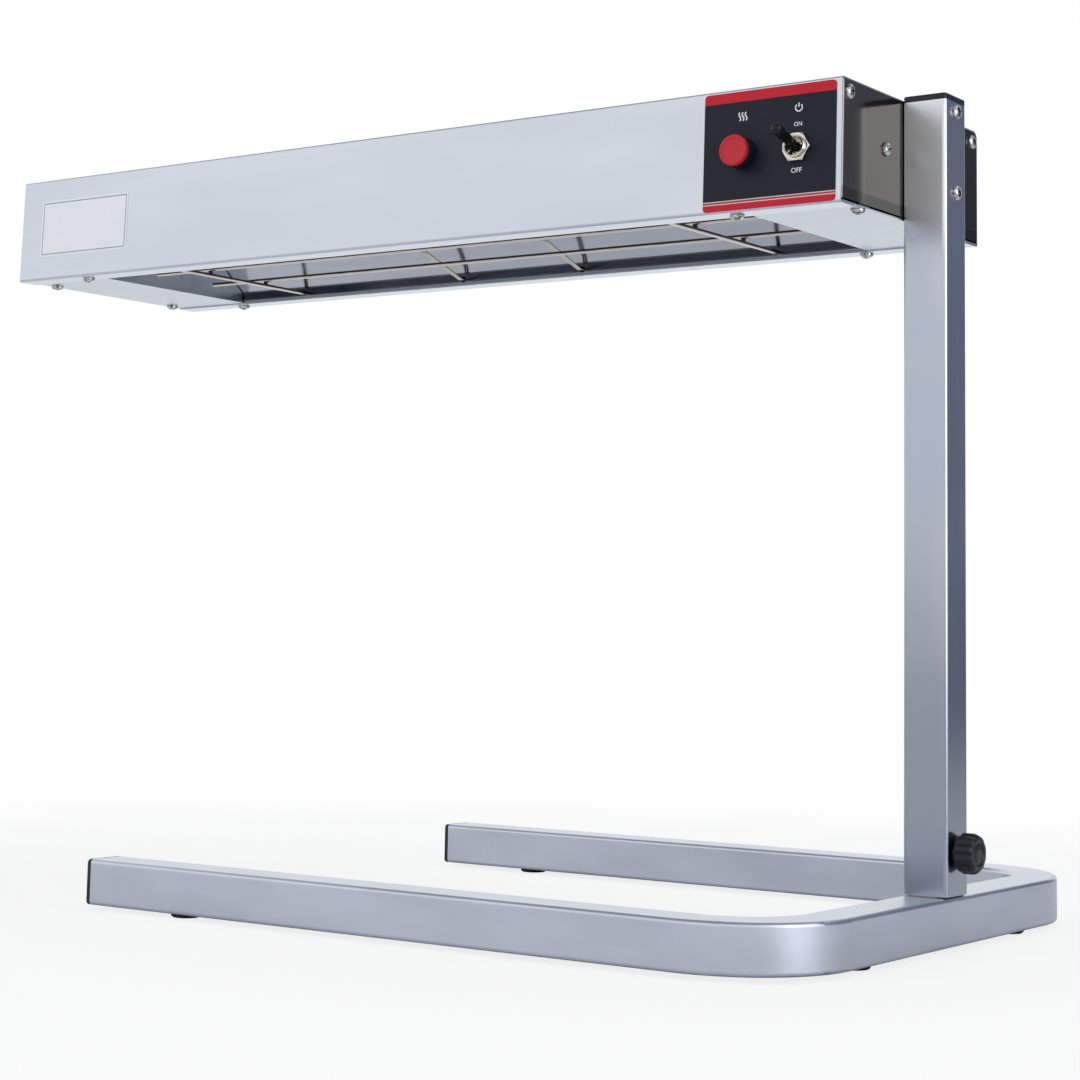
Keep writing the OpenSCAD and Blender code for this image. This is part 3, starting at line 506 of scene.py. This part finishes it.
def knob_ring(radius, height, flute):
    """A ring round the knob with flutes of a given depth."""
    ring = []
    sides = 16 * knob_flutes
    for k in range(sides):
        wave = 0.5 - 0.5 * math.cos(math.tau * knob_flutes * k / sides)
        ring.append(ring_point(radius - flute * wave ** 2.2, math.tau * k / sides, height))
    return ring


# Radius, height and depth of the flutes, in millimetres, from the post outwards
knob_profile = [
    (3.05, 0, 0), (8.4, 0, 0), (9.0, 0.3, 0), (9.1, 1.3, 0), (9.5, 1.5, 0.2), (10.2, 1.8, 0.8),
    (10.5, 2.4, 1.15), (10.5, 5, 1.2), (10.5, 7.8, 1.2), (10.3, 8.9, 1.1), (9.9, 9.8, 0.9),
    (9.3, 10.5, 0.6), (8.5, 10.95, 0.25), (7.6, 11, 0), (6.6, 11, 0), (6.3, 10.6, 0),
    (5.7, 10.25, 0), (5.2, 10.3, 0), (4.6, 10.7, 0), (2.5, 10.85, 0), (0.4, 10.9, 0)]
knob = Form()
knob_place = Matrix.Translation((post_face + knob_gap, 0, clamp_z))
knob.rings([knob_ring(radius * mm, height * mm, flute * mm) for radius, height, flute in knob_profile],
           knob_place @ Matrix.Rotation(math.radians(90), 4, "Y"))
knob.fit("fluted_knob", black_plastic, "clamp_knob", "black_plastic", "clamp_knob", crease=50)

# The heater's housing: one sheet of bright stainless steel folded to a channel, open below,
# with a lip along each lower edge, brushed along its length.

heater_length = 610 * mm
heater_right = post_face - tube
heater_left = heater_right - heater_length
heater_bottom = 383.6 * mm
heater_height = 66.8 * mm
front_bottom = 84.1 * mm
front_lean = 1.8 * mm
lean = math.atan(front_lean / heater_height)

housing_steel = Finish("housing_steel", Metallic=1.0)
housing_lines = housing_steel.noise(1000, (0.012, 1, 1), 4)
housing_cloud = housing_steel.noise(7, (1, 2, 3), 2)
housing_steel.set(
    Base_Color=housing_steel.mix(
        housing_cloud.rise(0.3, 0.7), (0.61, 0.66, 0.735), (0.66, 0.71, 0.785)),
    Roughness=housing_lines * 0.1 + housing_cloud * 0.06 + 0.22,
    Normal=housing_steel.relief(housing_lines, 0.008 * mm))
dress(housing_steel, "housing")

# The end plates: polished dark sheet set into both ends, fixed by screws into the folded
# ears of the housing. Their colour is darkened to the rear and below a bend line near the foot
# as a painted reflection of dark surroundings, with a painted highlight along the bend line.

plate_polish = Finish("plate_polish", Metallic=1.0)
polish_lines = plate_polish.noise(700, (1, 1, 0.02), 3)
polish_cloud = plate_polish.noise(20)
plain_polish = plate_polish.mix(polish_cloud, (0.165, 0.152, 0.135), (0.22, 0.20, 0.18))
_, plate_y, plate_z = plate_polish.axes()
line_z = heater_bottom + 9.5 * mm
# Painted reflection: the colour darkens below the bend line and to the rear, and a painted highlight
# lightens the bend line itself.
painted_dark_below_bend = plate_z.rise(line_z, line_z - 1.5 * mm)
painted_bend_highlight = (plate_z - line_z).size().rise(0.5 * mm, 0.2 * mm)
painted_dark_rear = plate_y.rise(0.0, 15 * mm)
painted_reflection_share = painted_dark_below_bend * 0.45 + painted_bend_highlight * -0.2 + painted_dark_rear * 0.75
plate_polish.set(
    Base_Color=plate_polish.mix(painted_reflection_share, plain_polish, (0.03, 0.03, 0.035)),
    Roughness=polish_lines * 0.05 + 0.09,
    Normal=plate_polish.relief(polish_lines, 0.003 * mm))
dress(plate_polish, "end_plate_left", "end_plate_right")

# The bottom covers, the reflector's end walls and the stiff plate behind the right end plate:
# galvanized sheet, which shows flat crystals of slightly different greys.

cover_zinc = Finish("cover_zinc", Metallic=1.0)
crystal_values = {"Vector": cover_zinc.stretched((1, 0.6, 1)), "Scale": 170}
crystal_colour = cover_zinc.node("ShaderNodeTexVoronoi", {}, crystal_values, "Color")
crystal = cover_zinc.node("ShaderNodeSeparateColor", {}, {0: crystal_colour})
zinc_smear = cover_zinc.noise(45, (1, 0.35, 1), 5)
zinc_share = (crystal * 0.35 + zinc_smear * 0.9).rise(0.3, 0.95)
cover_zinc.set(
    Base_Color=cover_zinc.mix(zinc_share, (0.47, 0.53, 0.585), (0.62, 0.68, 0.735)),
    Roughness=zinc_share * 0.1 + 0.27,
    Normal=cover_zinc.relief(crystal * 0.4 + cover_zinc.noise(900) * 0.3, 0.02 * mm))
dress(cover_zinc, "bottom_cover_left", "bottom_cover_right", "reflector_end_left",
      "reflector_end_right", "backing_plate")

# The screws: bright pan heads with a cross recess and threaded shanks, and their nuts.
# The recess is a second, darker finish on the same mesh: painted shade in the cross.

bright_steel = Finish("bright_steel", Metallic=1.0)
bright_stain = bright_steel.noise(500)
bright_steel.set(
    Base_Color=bright_steel.mix(bright_stain.rise(0.35, 0.6), (0.20, 0.19, 0.19), (0.78, 0.77, 0.76)),
    Roughness=bright_stain * 0.12 + 0.1,
    Normal=bright_steel.relief(bright_stain, 0.03 * mm))

# Painted shade: the cross recess is coloured near black where it lies in shade.
recess_painted_shade = mottled("recess_painted_shade", 900, (0.015, 0.015, 0.018), (0.06, 0.06, 0.065),
                       (0.35, 0.2), 0.02 * mm, Metallic=1.0)

screw_d = 3.8 * mm
screw_pitch = 0.7 * mm
screw_thread = 0.35 * mm
head_d = 8 * mm
head_h = 2.5 * mm
recess_depth = 1.5 * mm


def threaded(length, outer, pitch, sides, depth, start):
    """Rings of a thread that goes down from z = start and narrows at its end."""
    tip_length, tip_depth = 1.2 * mm, 0.8 * mm
    rings = []
    count = max(4, round(4 * length / pitch))
    for j in range(count + 1):
        drop = j * length / count
        taper = min(1, (length - drop) / tip_length) * tip_depth
        ring = []
        for k in range(sides):
            phase = (drop / pitch + k / sides) % 1
            ridge = abs(phase * 2 - 1)
            radius = min(outer - depth * (1 - ridge), outer - tip_depth + taper)
            ring.append(ring_point(radius, math.tau * k / sides, start - drop))
        rings.append(ring)
    return rings


def final_mesh(source):
    """The mesh of an object with its modifiers, or of a text."""
    return bpy.data.meshes.new_from_object(
        source.evaluated_get(bpy.context.evaluated_depsgraph_get()))


def pan_head():
    """The points and faces of one domed head, and which faces are in its cross recess."""
    r, h, neck = head_d / 2, head_h, screw_d / 2 - 0.3 * mm
    blank = Form()
    blank.turned([
        (neck, -0.3 * mm), (neck, 0), (r - 0.15 * mm, 0), (r, 0.15 * mm), (r, 0.75 * mm),
        (r - 0.12 * mm, 1.15 * mm), (r - 0.5 * mm, 1.6 * mm), (r - 1.2 * mm, 2.06 * mm),
        (r - 2.1 * mm, 2.36 * mm), (r - 3.1 * mm, h - 0.02 * mm), (r - 3.8 * mm, h)], 40)
    head = new_object("head_blank", blank.mesh("head_blank"))
    # Each wing of the cross narrows towards its bottom
    wing_sizes = ((h - recess_depth, 0.9 * mm, 0.32 * mm), (h + 0.5 * mm, 2.6 * mm, 0.5 * mm))
    wing = [[(-reach, -half, height), (reach, -half, height),
             (reach, half, height), (-reach, half, height)] for height, reach, half in wing_sizes]
    for turn in (0, 90):
        cutter = Form().rings(wing, Matrix.Rotation(math.radians(turn), 4, "Z"))
        tool = new_object("cross_cutter", cutter.mesh("cross_cutter"))
        cut = head.modifiers.new("recess", "BOOLEAN")
        cut.operation = "DIFFERENCE"
        cut.solver = "EXACT"
        cut.object = tool
        solid = final_mesh(head)
        head.modifiers.clear()
        head.data = solid
        bpy.data.objects.remove(tool)
    points = [tuple(v.co) for v in head.data.vertices]
    faces = [tuple(p.vertices) for p in head.data.polygons]
    inside = [int(p.center.xy.length < 2.3 * mm and 0.5 * mm < p.center.z < 2.15 * mm)
              for p in head.data.polygons]
    bpy.data.objects.remove(head)
    return points, faces, inside


head_points, head_faces, head_finish = pan_head()


def screws(name, replaced, places, length, plain=0.0):
    """A set of like screws, each with its own turn of the recess."""
    form = Form()
    for i, (origin, direction) in enumerate(places):
        place = aimed(origin, direction, 17 + 47 * i)
        form.add(head_points, head_faces, place, head_finish)
        if plain:
            shank_r = screw_d / 2 - 0.1 * mm
            form.turned([(shank_r, 0.05 * mm), (shank_r, -plain)], 16, place)
        thread = threaded(length - plain, screw_d / 2, screw_pitch, 12, screw_thread, -plain)
        form.rings(thread, place)
    form.fit(name, bright_steel, "mast", "bright_fasteners", replaced, second=recess_painted_shade)


heater_top = heater_bottom + heater_height
bolt_drops = (6.6 * mm, 51.1 * mm)
screws("post_bolt_pair", "post_bolts",
       [((post_face, 0, heater_top - drop), (1, 0, 0)) for drop in bolt_drops],
       length=33.6 * mm, plain=22 * mm)

backing_screw_y = 32.6 * mm
backing_screw_z = heater_bottom + 36.5 * mm
screws("backing_screw_pair", "backing_screws",
       [((heater_right, side * backing_screw_y, backing_screw_z), (1, 0, 0)) for side in (-1, 1)],
       length=5.2 * mm)

corner_screw_y = 74.8 * mm
corner_screw_z = heater_top - 7.1 * mm
screws("end_plate_screw_set", "end_plate_screws",
       [((x, side * corner_screw_y, corner_screw_z), (turn, 0, 0))
        for x, turn in ((heater_right, 1), (heater_left, -1)) for side in (-1, 1)],
       length=5.6 * mm)

cover_screw_inset = 5.2 * mm
cover_screw_y = 55 * mm
cover_level = heater_bottom + 0.8 * mm
screws("cover_screw_set", "cover_screws",
       [((x, side * cover_screw_y, cover_level), (0, 0, -1))
        for x in (heater_right - cover_screw_inset, heater_left + cover_screw_inset)
        for side in (-1, 1)],
       length=4.0 * mm)

lip_screw_y = 75 * mm
lip_screw_right = heater_right - 66.6 * mm
lip_screw_left = heater_left + 55.4 * mm
screws("lip_screw_set", "lip_screws",
       [((x, side * lip_screw_y, heater_bottom), (0, 0, -1))
        for x in (lip_screw_right, lip_screw_left) for side in (-1, 1)],
       length=5.4 * mm)
dress(bright_steel, "post_nuts", "lip_nuts", "terminal_screws")

# The reflector: thin bright sheet folded to a trough over the element, faintly wavy, with
# upright edges whose shade is painted dark into the colour, as is the strip at their foot.

mirror_sheet = Finish("mirror_sheet", Metallic=1.0)
waves = mirror_sheet.noise(16, (1, 2, 2), 2)
scuffs = mirror_sheet.noise(260, (0.1, 1, 1), 4)
_, mirror_y, mirror_z = mirror_sheet.axes()
past_trough = mirror_y.size().rise(64.6 * mm, 65.2 * mm)
on_flange = mirror_y.size().rise(67.6 * mm, 68.2 * mm)
# Painted shade: the strip between trough and flange, and more so its upright part, is coloured near
# black.
painted_shade_strip = past_trough * (1 - on_flange)
painted_shade_upright = painted_shade_strip * mirror_z.rise(heater_bottom + 2.6 * mm, heater_bottom + 3.2 * mm)
bright_sheet = mirror_sheet.mix(scuffs, (0.50, 0.53, 0.58), (0.62, 0.65, 0.70))
mirror_sheet.set(
    Base_Color=mirror_sheet.mix(painted_shade_strip * 0.62 + painted_shade_upright * 0.22, bright_sheet, (0.02, 0.022, 0.035)),
    Roughness=scuffs * 0.1 + 0.12,
    Normal=mirror_sheet.relief(waves, 1.2 * mm, 0.6))
dress(mirror_sheet, "reflector")

# The guard and the element's supports: steel wire, welded where it crosses and browned by
# heat on the side of the element.

wire_d = 2.6 * mm
wire_z = heater_bottom + 4.0 * mm
long_wire_rise = wire_d + 1.2 * mm
cross_wire_pitch = 370 * mm
long_wire_pitch = 54 * mm
guard_middle = (heater_left + heater_right) / 2 - 2 * mm
weld_z = wire_z + long_wire_rise / 2
support_wire_d = 1.4 * mm
support_z = heater_bottom + 3.75 * mm
support_foot = 62 * mm
support_slope = 20.2 * mm / support_foot


def guard_axis(y, z):
    """The long wires lie over the cross wires."""
    return z.rise(weld_z - 0.1 * mm, weld_z + 0.1 * mm) * long_wire_rise + wire_z


def support_axis(y, z):
    """Each half of a support slopes up to the element."""
    return (y.size() * -1 + support_foot).most(0) * support_slope + support_z


def browned(name, axis, thickness):
    """Wire that is browned on the side that faces the element and bright below."""
    finish = Finish(name, Metallic=1.0)
    _, y, z = finish.axes()
    stain = finish.noise(90)
    dark = finish.mix(stain, (0.045, 0.035, 0.03), (0.11, 0.085, 0.07))
    bright = finish.mix(stain, (0.66, 0.60, 0.54), (0.86, 0.80, 0.74))
    share = ((z - axis(y, z)) / thickness + stain * 0.3).rise(-0.12, 0.2)
    finish.set(
        Base_Color=finish.mix(share, bright, dark),
        Roughness=stain * 0.12 + 0.25,
        Normal=finish.relief(stain, 0.01 * mm))
    return finish


dress(browned("guard_steel", guard_axis, wire_d), "wire_guard")
dress(browned("support_steel", support_axis, support_wire_d), "element_supports")

weld_scale = mottled("weld_scale", 700, (0.03, 0.02, 0.015), (0.11, 0.075, 0.05),
                     (0.4, 0.2), 0.08 * mm, Metallic=0.8)
weld_profile = [(radius * mm, height * mm) for radius, height in (
    (0.4, -1.5), (1.15, -1.2), (1.5, -0.7), (1.3, 0), (1.5, 0.7), (1.15, 1.2), (0.4, 1.5))]
weld_spots = Form()
for along in (-0.5, 0.5):
    for across in (-0.5, 0.5):
        spot = (guard_middle + along * cross_wire_pitch, across * long_wire_pitch, weld_z)
        weld_spots.turned(weld_profile, 20, Matrix.Translation(spot))
weld_spots.fit("weld_spots", weld_scale, "mast", "guard_wire")

# The element: a straight sheath heater along the trough, held in ceramic bushings in the
# end walls, with brass terminals at both ends.

sheath = Finish("sheath", Metallic=0.9)
sheath_heat = sheath.noise(60, (0.3, 1, 1), 4)
sheath.set(
    Base_Color=sheath.mix(sheath_heat, (0.13, 0.13, 0.12), (0.26, 0.25, 0.23)),
    Roughness=sheath_heat * 0.2 + 0.4,
    Normal=sheath.relief(sheath.noise(1200), 0.02 * mm))
dress(sheath, "heating_element")

ceramic = mottled("ceramic", 90, (0.78, 0.75, 0.68), (0.88, 0.86, 0.80),
                  (0.2, 0.15), 0.03 * mm, Metallic=0.0)
dress(ceramic, "element_bushings")

brass = mottled("brass", 220, (0.55, 0.38, 0.16), (0.78, 0.60, 0.28),
                (0.2, 0.2), 0.02 * mm, Metallic=1.0)
dress(brass, "element_terminals", "switch_terminals", "earth_stud")

# The control panel: a thin printed plate on the leaning front wall, navy black with a red
# band along the top and the bottom, a thin red line between two white hairlines, and marks.

panel_height = 64.2 * mm
panel_drop = 0.4 * mm
controls_up = 31.1 * mm
switch_x = -25.6 * mm
lamp_x = -58.8 * mm
panel_face = 0.4 * mm


def on_panel(x, up, out=0.0):
    """The leaning front wall's frame: x along it, y up it, z out of it."""
    across = Vector((1, 0, 0))
    upward = Vector((0, math.sin(lean), math.cos(lean)))
    outward = Vector((0, -math.cos(lean), math.sin(lean)))
    origin = Vector((heater_right + x, -front_bottom, heater_bottom)) + upward * up + outward * out
    return Matrix.Translation(origin) @ Matrix((across, upward, outward)).transposed().to_4x4()


panel_print = Finish("panel_print", Metallic=0.0, Specular_IOR_Level=0.2)
_, _, panel_z = panel_print.axes()
panel_up = (panel_z - heater_bottom) / math.cos(lean)
low_edge = (heater_height / math.cos(lean) - panel_height) / 2 - panel_drop
low_band_end = low_edge + 3.4 * mm
high_band_start = low_edge + panel_height - 5.5 * mm
blur = 0.12 * mm
in_low_band = 1 - panel_up.rise(low_band_end, low_band_end + blur)
in_high_band = panel_up.rise(high_band_start - blur, high_band_start)


def printed_line(rise, half):
    """1 on a line across the panel at a height over the low band."""
    return (panel_up - (low_band_end + rise)).size().rise(half, half - blur)


on_thin_band = printed_line(1.15 * mm, 0.36 * mm)
hairlines = [printed_line(rise, 0.34 * mm) for rise in (0.45 * mm, 1.9 * mm)]
print_cloud = panel_print.noise(30)
navy = panel_print.mix(print_cloud, (0.0095, 0.0110, 0.0200), (0.0135, 0.0155, 0.0265))
red = panel_print.mix(print_cloud, (0.50, 0.012, 0.028), (0.60, 0.020, 0.038))
printed_lines = panel_print.mix(hairlines[0].most(hairlines[1]), navy, (0.62, 0.58, 0.60))
panel_print.set(
    Base_Color=panel_print.mix(in_low_band.most(in_high_band).most(on_thin_band), printed_lines, red),
    Roughness=print_cloud * 0.1 + 0.42,
    Normal=panel_print.relief(panel_print.noise(1500), 0.006 * mm))
dress(panel_print, "control_panel")

white_print = mottled("white_print", 700, (0.72, 0.73, 0.76), (0.84, 0.85, 0.87),
                      (0.45, 0.1), 0.004 * mm, Metallic=0.0)
print_out = panel_face + 0.02 * mm
ink_height = 0.03 * mm


def stroke(form, line, width, place):
    """A flat printed stroke of even width along a line."""
    sides = []
    for i, point in enumerate(line):
        before, after = line[max(i - 1, 0)], line[min(i + 1, len(line) - 1)]
        along = Vector((after[0] - before[0], after[1] - before[1])).normalized()
        across = Vector((-along.y, along.x)) * width / 2
        sides.append((Vector(point) + across, Vector(point) - across))
    form.rings([[(a.x, a.y, 0), (b.x, b.y, 0), (b.x, b.y, ink_height), (a.x, a.y, ink_height)]
                for a, b in sides], place)


marks = Form()
heat_mark = on_panel(lamp_x, controls_up + 20.2 * mm, print_out)
for column in (-1, 0, 1):
    wave = [((column * 1.9 + 0.55 * math.sin(math.tau * i / 16)) * mm, (-2.3 + 4.6 * i / 16) * mm)
            for i in range(17)]
    stroke(marks, wave, 0.75 * mm, heat_mark)
power_mark = on_panel(switch_x + 0.5 * mm, controls_up + 21.4 * mm, print_out)
power_r = 2.0 * mm
arc = [(power_r * math.sin(math.radians(turn)), power_r * math.cos(math.radians(turn)))
       for turn in range(40, 321, 10)]
stroke(marks, arc, 0.7 * mm, power_mark)
stroke(marks, [(0, 0.3 * mm), (0, 2.6 * mm)], 0.7 * mm, power_mark)
marks.fit("panel_marks", white_print, "mast", "panel_print")


def lettering(name, words, size, x, up):
    """Flat letters centred on a point of the panel."""
    font = bpy.data.curves.new(name, "FONT")
    font.body = words
    font.size = size
    font.align_x = "CENTER"
    font.align_y = "CENTER"
    font.offset = 0.03 * mm
    font.extrude = ink_height / 2
    source = new_object(name + "_curve", font)
    mesh = final_mesh(source)
    bpy.data.objects.remove(source)
    mesh.transform(on_panel(x, up, print_out + ink_height / 2))
    mesh.materials.clear()
    mesh.materials.append(white_print.material)
    piece = new_object(name, mesh)
    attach(piece, "mast")


lettering("word_on", "ON", 3.2 * mm, switch_x + 0.2 * mm, controls_up + 12.5 * mm)
lettering("word_off", "OFF", 3.7 * mm, switch_x - 0.3 * mm, controls_up - 12.2 * mm)

# The label: a white film sticker at the far end of the front wall, left blank inside its
# printed frame line.

label_film = Finish("label_film", Metallic=0.0)
label_x, _, label_z = label_film.axes()
label_width = 78.5 * mm
label_height = 37 * mm
label_margin = 1.6 * mm
label_middle_x = heater_left + 18 * mm + label_width / 2
label_middle_z = heater_bottom + 15.5 * mm + label_height / 2
label_across = (label_x - label_middle_x).size() - (label_width / 2 - label_margin)
label_upward = (label_z - label_middle_z).size() - (label_height / 2 - label_margin)
frame_line = label_across.most(label_upward).size().rise(0.45 * mm, 0.25 * mm)
film_cloud = label_film.noise(40)
blank_film = label_film.mix(film_cloud, (0.74, 0.77, 0.82), (0.82, 0.84, 0.87))
label_film.set(
    Base_Color=label_film.mix(frame_line * 0.8, blank_film, (0.10, 0.14, 0.30)),
    Roughness=film_cloud * 0.1 + 0.3,
    Normal=label_film.relief(film_cloud, 0.02 * mm))
dress(label_film, "label_blank")

# The pilot lamp: a red lens with a raised rim in a black bezel, whose neck goes through
# the wall to a nut.

lens_d = 16.8 * mm
bezel_out = 8.4 * mm
lens_out = 2.2 * mm
neck_d = 11.6 * mm

red_lens = mottled("red_lens", 200, (0.46, 0.010, 0.022), (0.54, 0.016, 0.030),
                   (0.3, 0.1), 0.01 * mm, Metallic=0.0, Specular_IOR_Level=0.35)
lens_r = lens_d / 2
lens = Form()
lens.turned([
    (lens_r - 0.5 * mm, 0), (lens_r, 0.02 * mm), (lens_r, 1.55 * mm), (lens_r - 0.12 * mm, 1.9 * mm),
    (lens_r - 0.4 * mm, 2.12 * mm), (lens_r - 0.8 * mm, lens_out),
    (lens_r - 1.3 * mm, lens_out - 0.02 * mm), (lens_r - 1.6 * mm, lens_out - 0.2 * mm),
    (lens_r - 2.1 * mm, lens_out - 0.26 * mm), (lens_r - 5.5 * mm, lens_out - 0.2 * mm),
    (0.4 * mm, lens_out - 0.15 * mm)], 72, on_panel(lamp_x, controls_up, bezel_out))
lens.fit("pilot_lens", red_lens, "mast", "red_lens", "indicator_lens")

neck_r = neck_d / 2
bezel_r = lens_r + 0.2 * mm
bezel = Form()
bezel.turned([
    (neck_r - 0.5 * mm, -6 * mm), (neck_r, -5.6 * mm), (neck_r, panel_face),
    (lens_r - 0.2 * mm, panel_face), (bezel_r, panel_face + 0.4 * mm),
    (bezel_r, bezel_out - 0.5 * mm), (lens_r - 0.1 * mm, bezel_out - 0.02 * mm),
    (0.4 * mm, bezel_out - 0.02 * mm)], 72, on_panel(lamp_x, controls_up))
bezel.fit("pilot_bezel", black_plastic, "mast", "black_plastic", "indicator_bezel")

# The toggle switch: a threaded nickel bushing and a chamfered nut outside the panel, the
# body behind it, and a black lever with a thicker rounded end.

nickel = mottled("nickel", 350, (0.62, 0.57, 0.50), (0.78, 0.74, 0.67),
                 (0.1, 0.12), 0.01 * mm, Metallic=1.0)

bushing_d = 11.8 * mm
bushing_out = 5 * mm
bushing_bore = 4.8 * mm
bushing_pitch = 0.9 * mm
bushing_thread = 0.35 * mm
switch_seat = 1.8 * mm
bore_floor = 0.5 * mm - switch_seat
thread = threaded(bushing_out + switch_seat - 0.1 * mm, bushing_d / 2, bushing_pitch, 48,
                  bushing_thread, bushing_out)
thread[0] = [(x * 0.96, y * 0.96, z) for x, y, z in thread[0]]
bore = [round_ring(0.3 * mm, bore_floor), round_ring(bushing_bore, bore_floor),
        round_ring(bushing_bore, bushing_out - 0.5 * mm),
        round_ring(bushing_bore + 0.35 * mm, bushing_out - 0.05 * mm)]
bushing = Form()
bushing.rings(bore + thread, on_panel(switch_x, controls_up))
bushing.fit("threaded_bushing", nickel, "mast", "nickel", "switch_bushing")

nut_flats = 14.6 * mm
nut_h = 2.8 * mm
nut_bore = bushing_d / 2 + 0.05 * mm
nut_round = 7.45 * mm
columns = []
for k in range(72):
    turn = math.tau * k / 72
    reach = nut_flats / 2 / math.cos(turn % (math.pi / 3) - math.pi / 6)
    drop = max(0, reach - nut_round) * 0.7
    column = [(nut_bore, 0), (reach, drop * 0.4), (reach, nut_h - drop),
              (min(reach, nut_round) - 0.1 * mm, nut_h), (nut_bore, nut_h)]
    columns.append([ring_point(radius, turn, height) for radius, height in column])
nut = Form()
nut.rings([list(ring) for ring in zip(*columns)],
          on_panel(switch_x, controls_up, panel_face), closed=True)
nut.fit("chamfered_nut", nickel, "mast", "nickel", "switch_nut", crease=25)
dress(nickel, "indicator_nut", "gland_nut")

lever_angle = 14
pivot_out = 1.6 * mm
lever_place = (on_panel(switch_x, controls_up, pivot_out)
               @ Matrix.Rotation(math.radians(-lever_angle), 4, "X"))
lever_black = mottled("lever_black", 400, (0.003, 0.003, 0.004), (0.007, 0.007, 0.009),
                      (0.2, 0.1), 0.01 * mm, Metallic=0.0, Specular_IOR_Level=0.2,
                      Coat_Weight=0.25, Coat_Roughness=0.06)
dress(lever_black, "switch_lever")
sleeve_profile = [(radius * mm, height * mm) for radius, height in (
    (1.95, 4.6), (2.55, 4.6), (2.68, 4.9), (2.75, 10), (2.85, 16), (2.98, 21.6), (2.97, 22.5),
    (2.7, 23.3), (2.05, 23.95), (1.2, 24.3), (0.3, 24.4))]
sleeve = Form()
sleeve.turned(sleeve_profile, 48, lever_place)
sleeve.fit("lever_sleeve_moulded", lever_black, "toggle", "black_plastic", "lever_sleeve")

# Behind the panel and in the right end: the red switch body, the white lamp body and
# terminal block, and the leads in their woven covers.

phenolic = mottled("red_phenolic", 150, (0.20, 0.012, 0.010), (0.30, 0.025, 0.018),
                   (0.45, 0.2), 0.03 * mm, Metallic=0.0)
dress(phenolic, "switch_body")

white_plastic = mottled("white_plastic", 120, (0.72, 0.70, 0.64), (0.82, 0.80, 0.75),
                        (0.4, 0.15), 0.03 * mm, Metallic=0.0)
dress(white_plastic, "indicator_body", "terminal_block")

lead_cover = mottled("lead_cover", 900, (0.50, 0.44, 0.34), (0.72, 0.66, 0.54),
                     (0.6, 0.2), 0.08 * mm, detail=2, Metallic=0.0)
dress(lead_cover, "lead_wires")

# The cord inlet: a black gland through the rear wall, held inside by the nut that is
# dressed with the switch.

dress(black_plastic, "cable_gland")
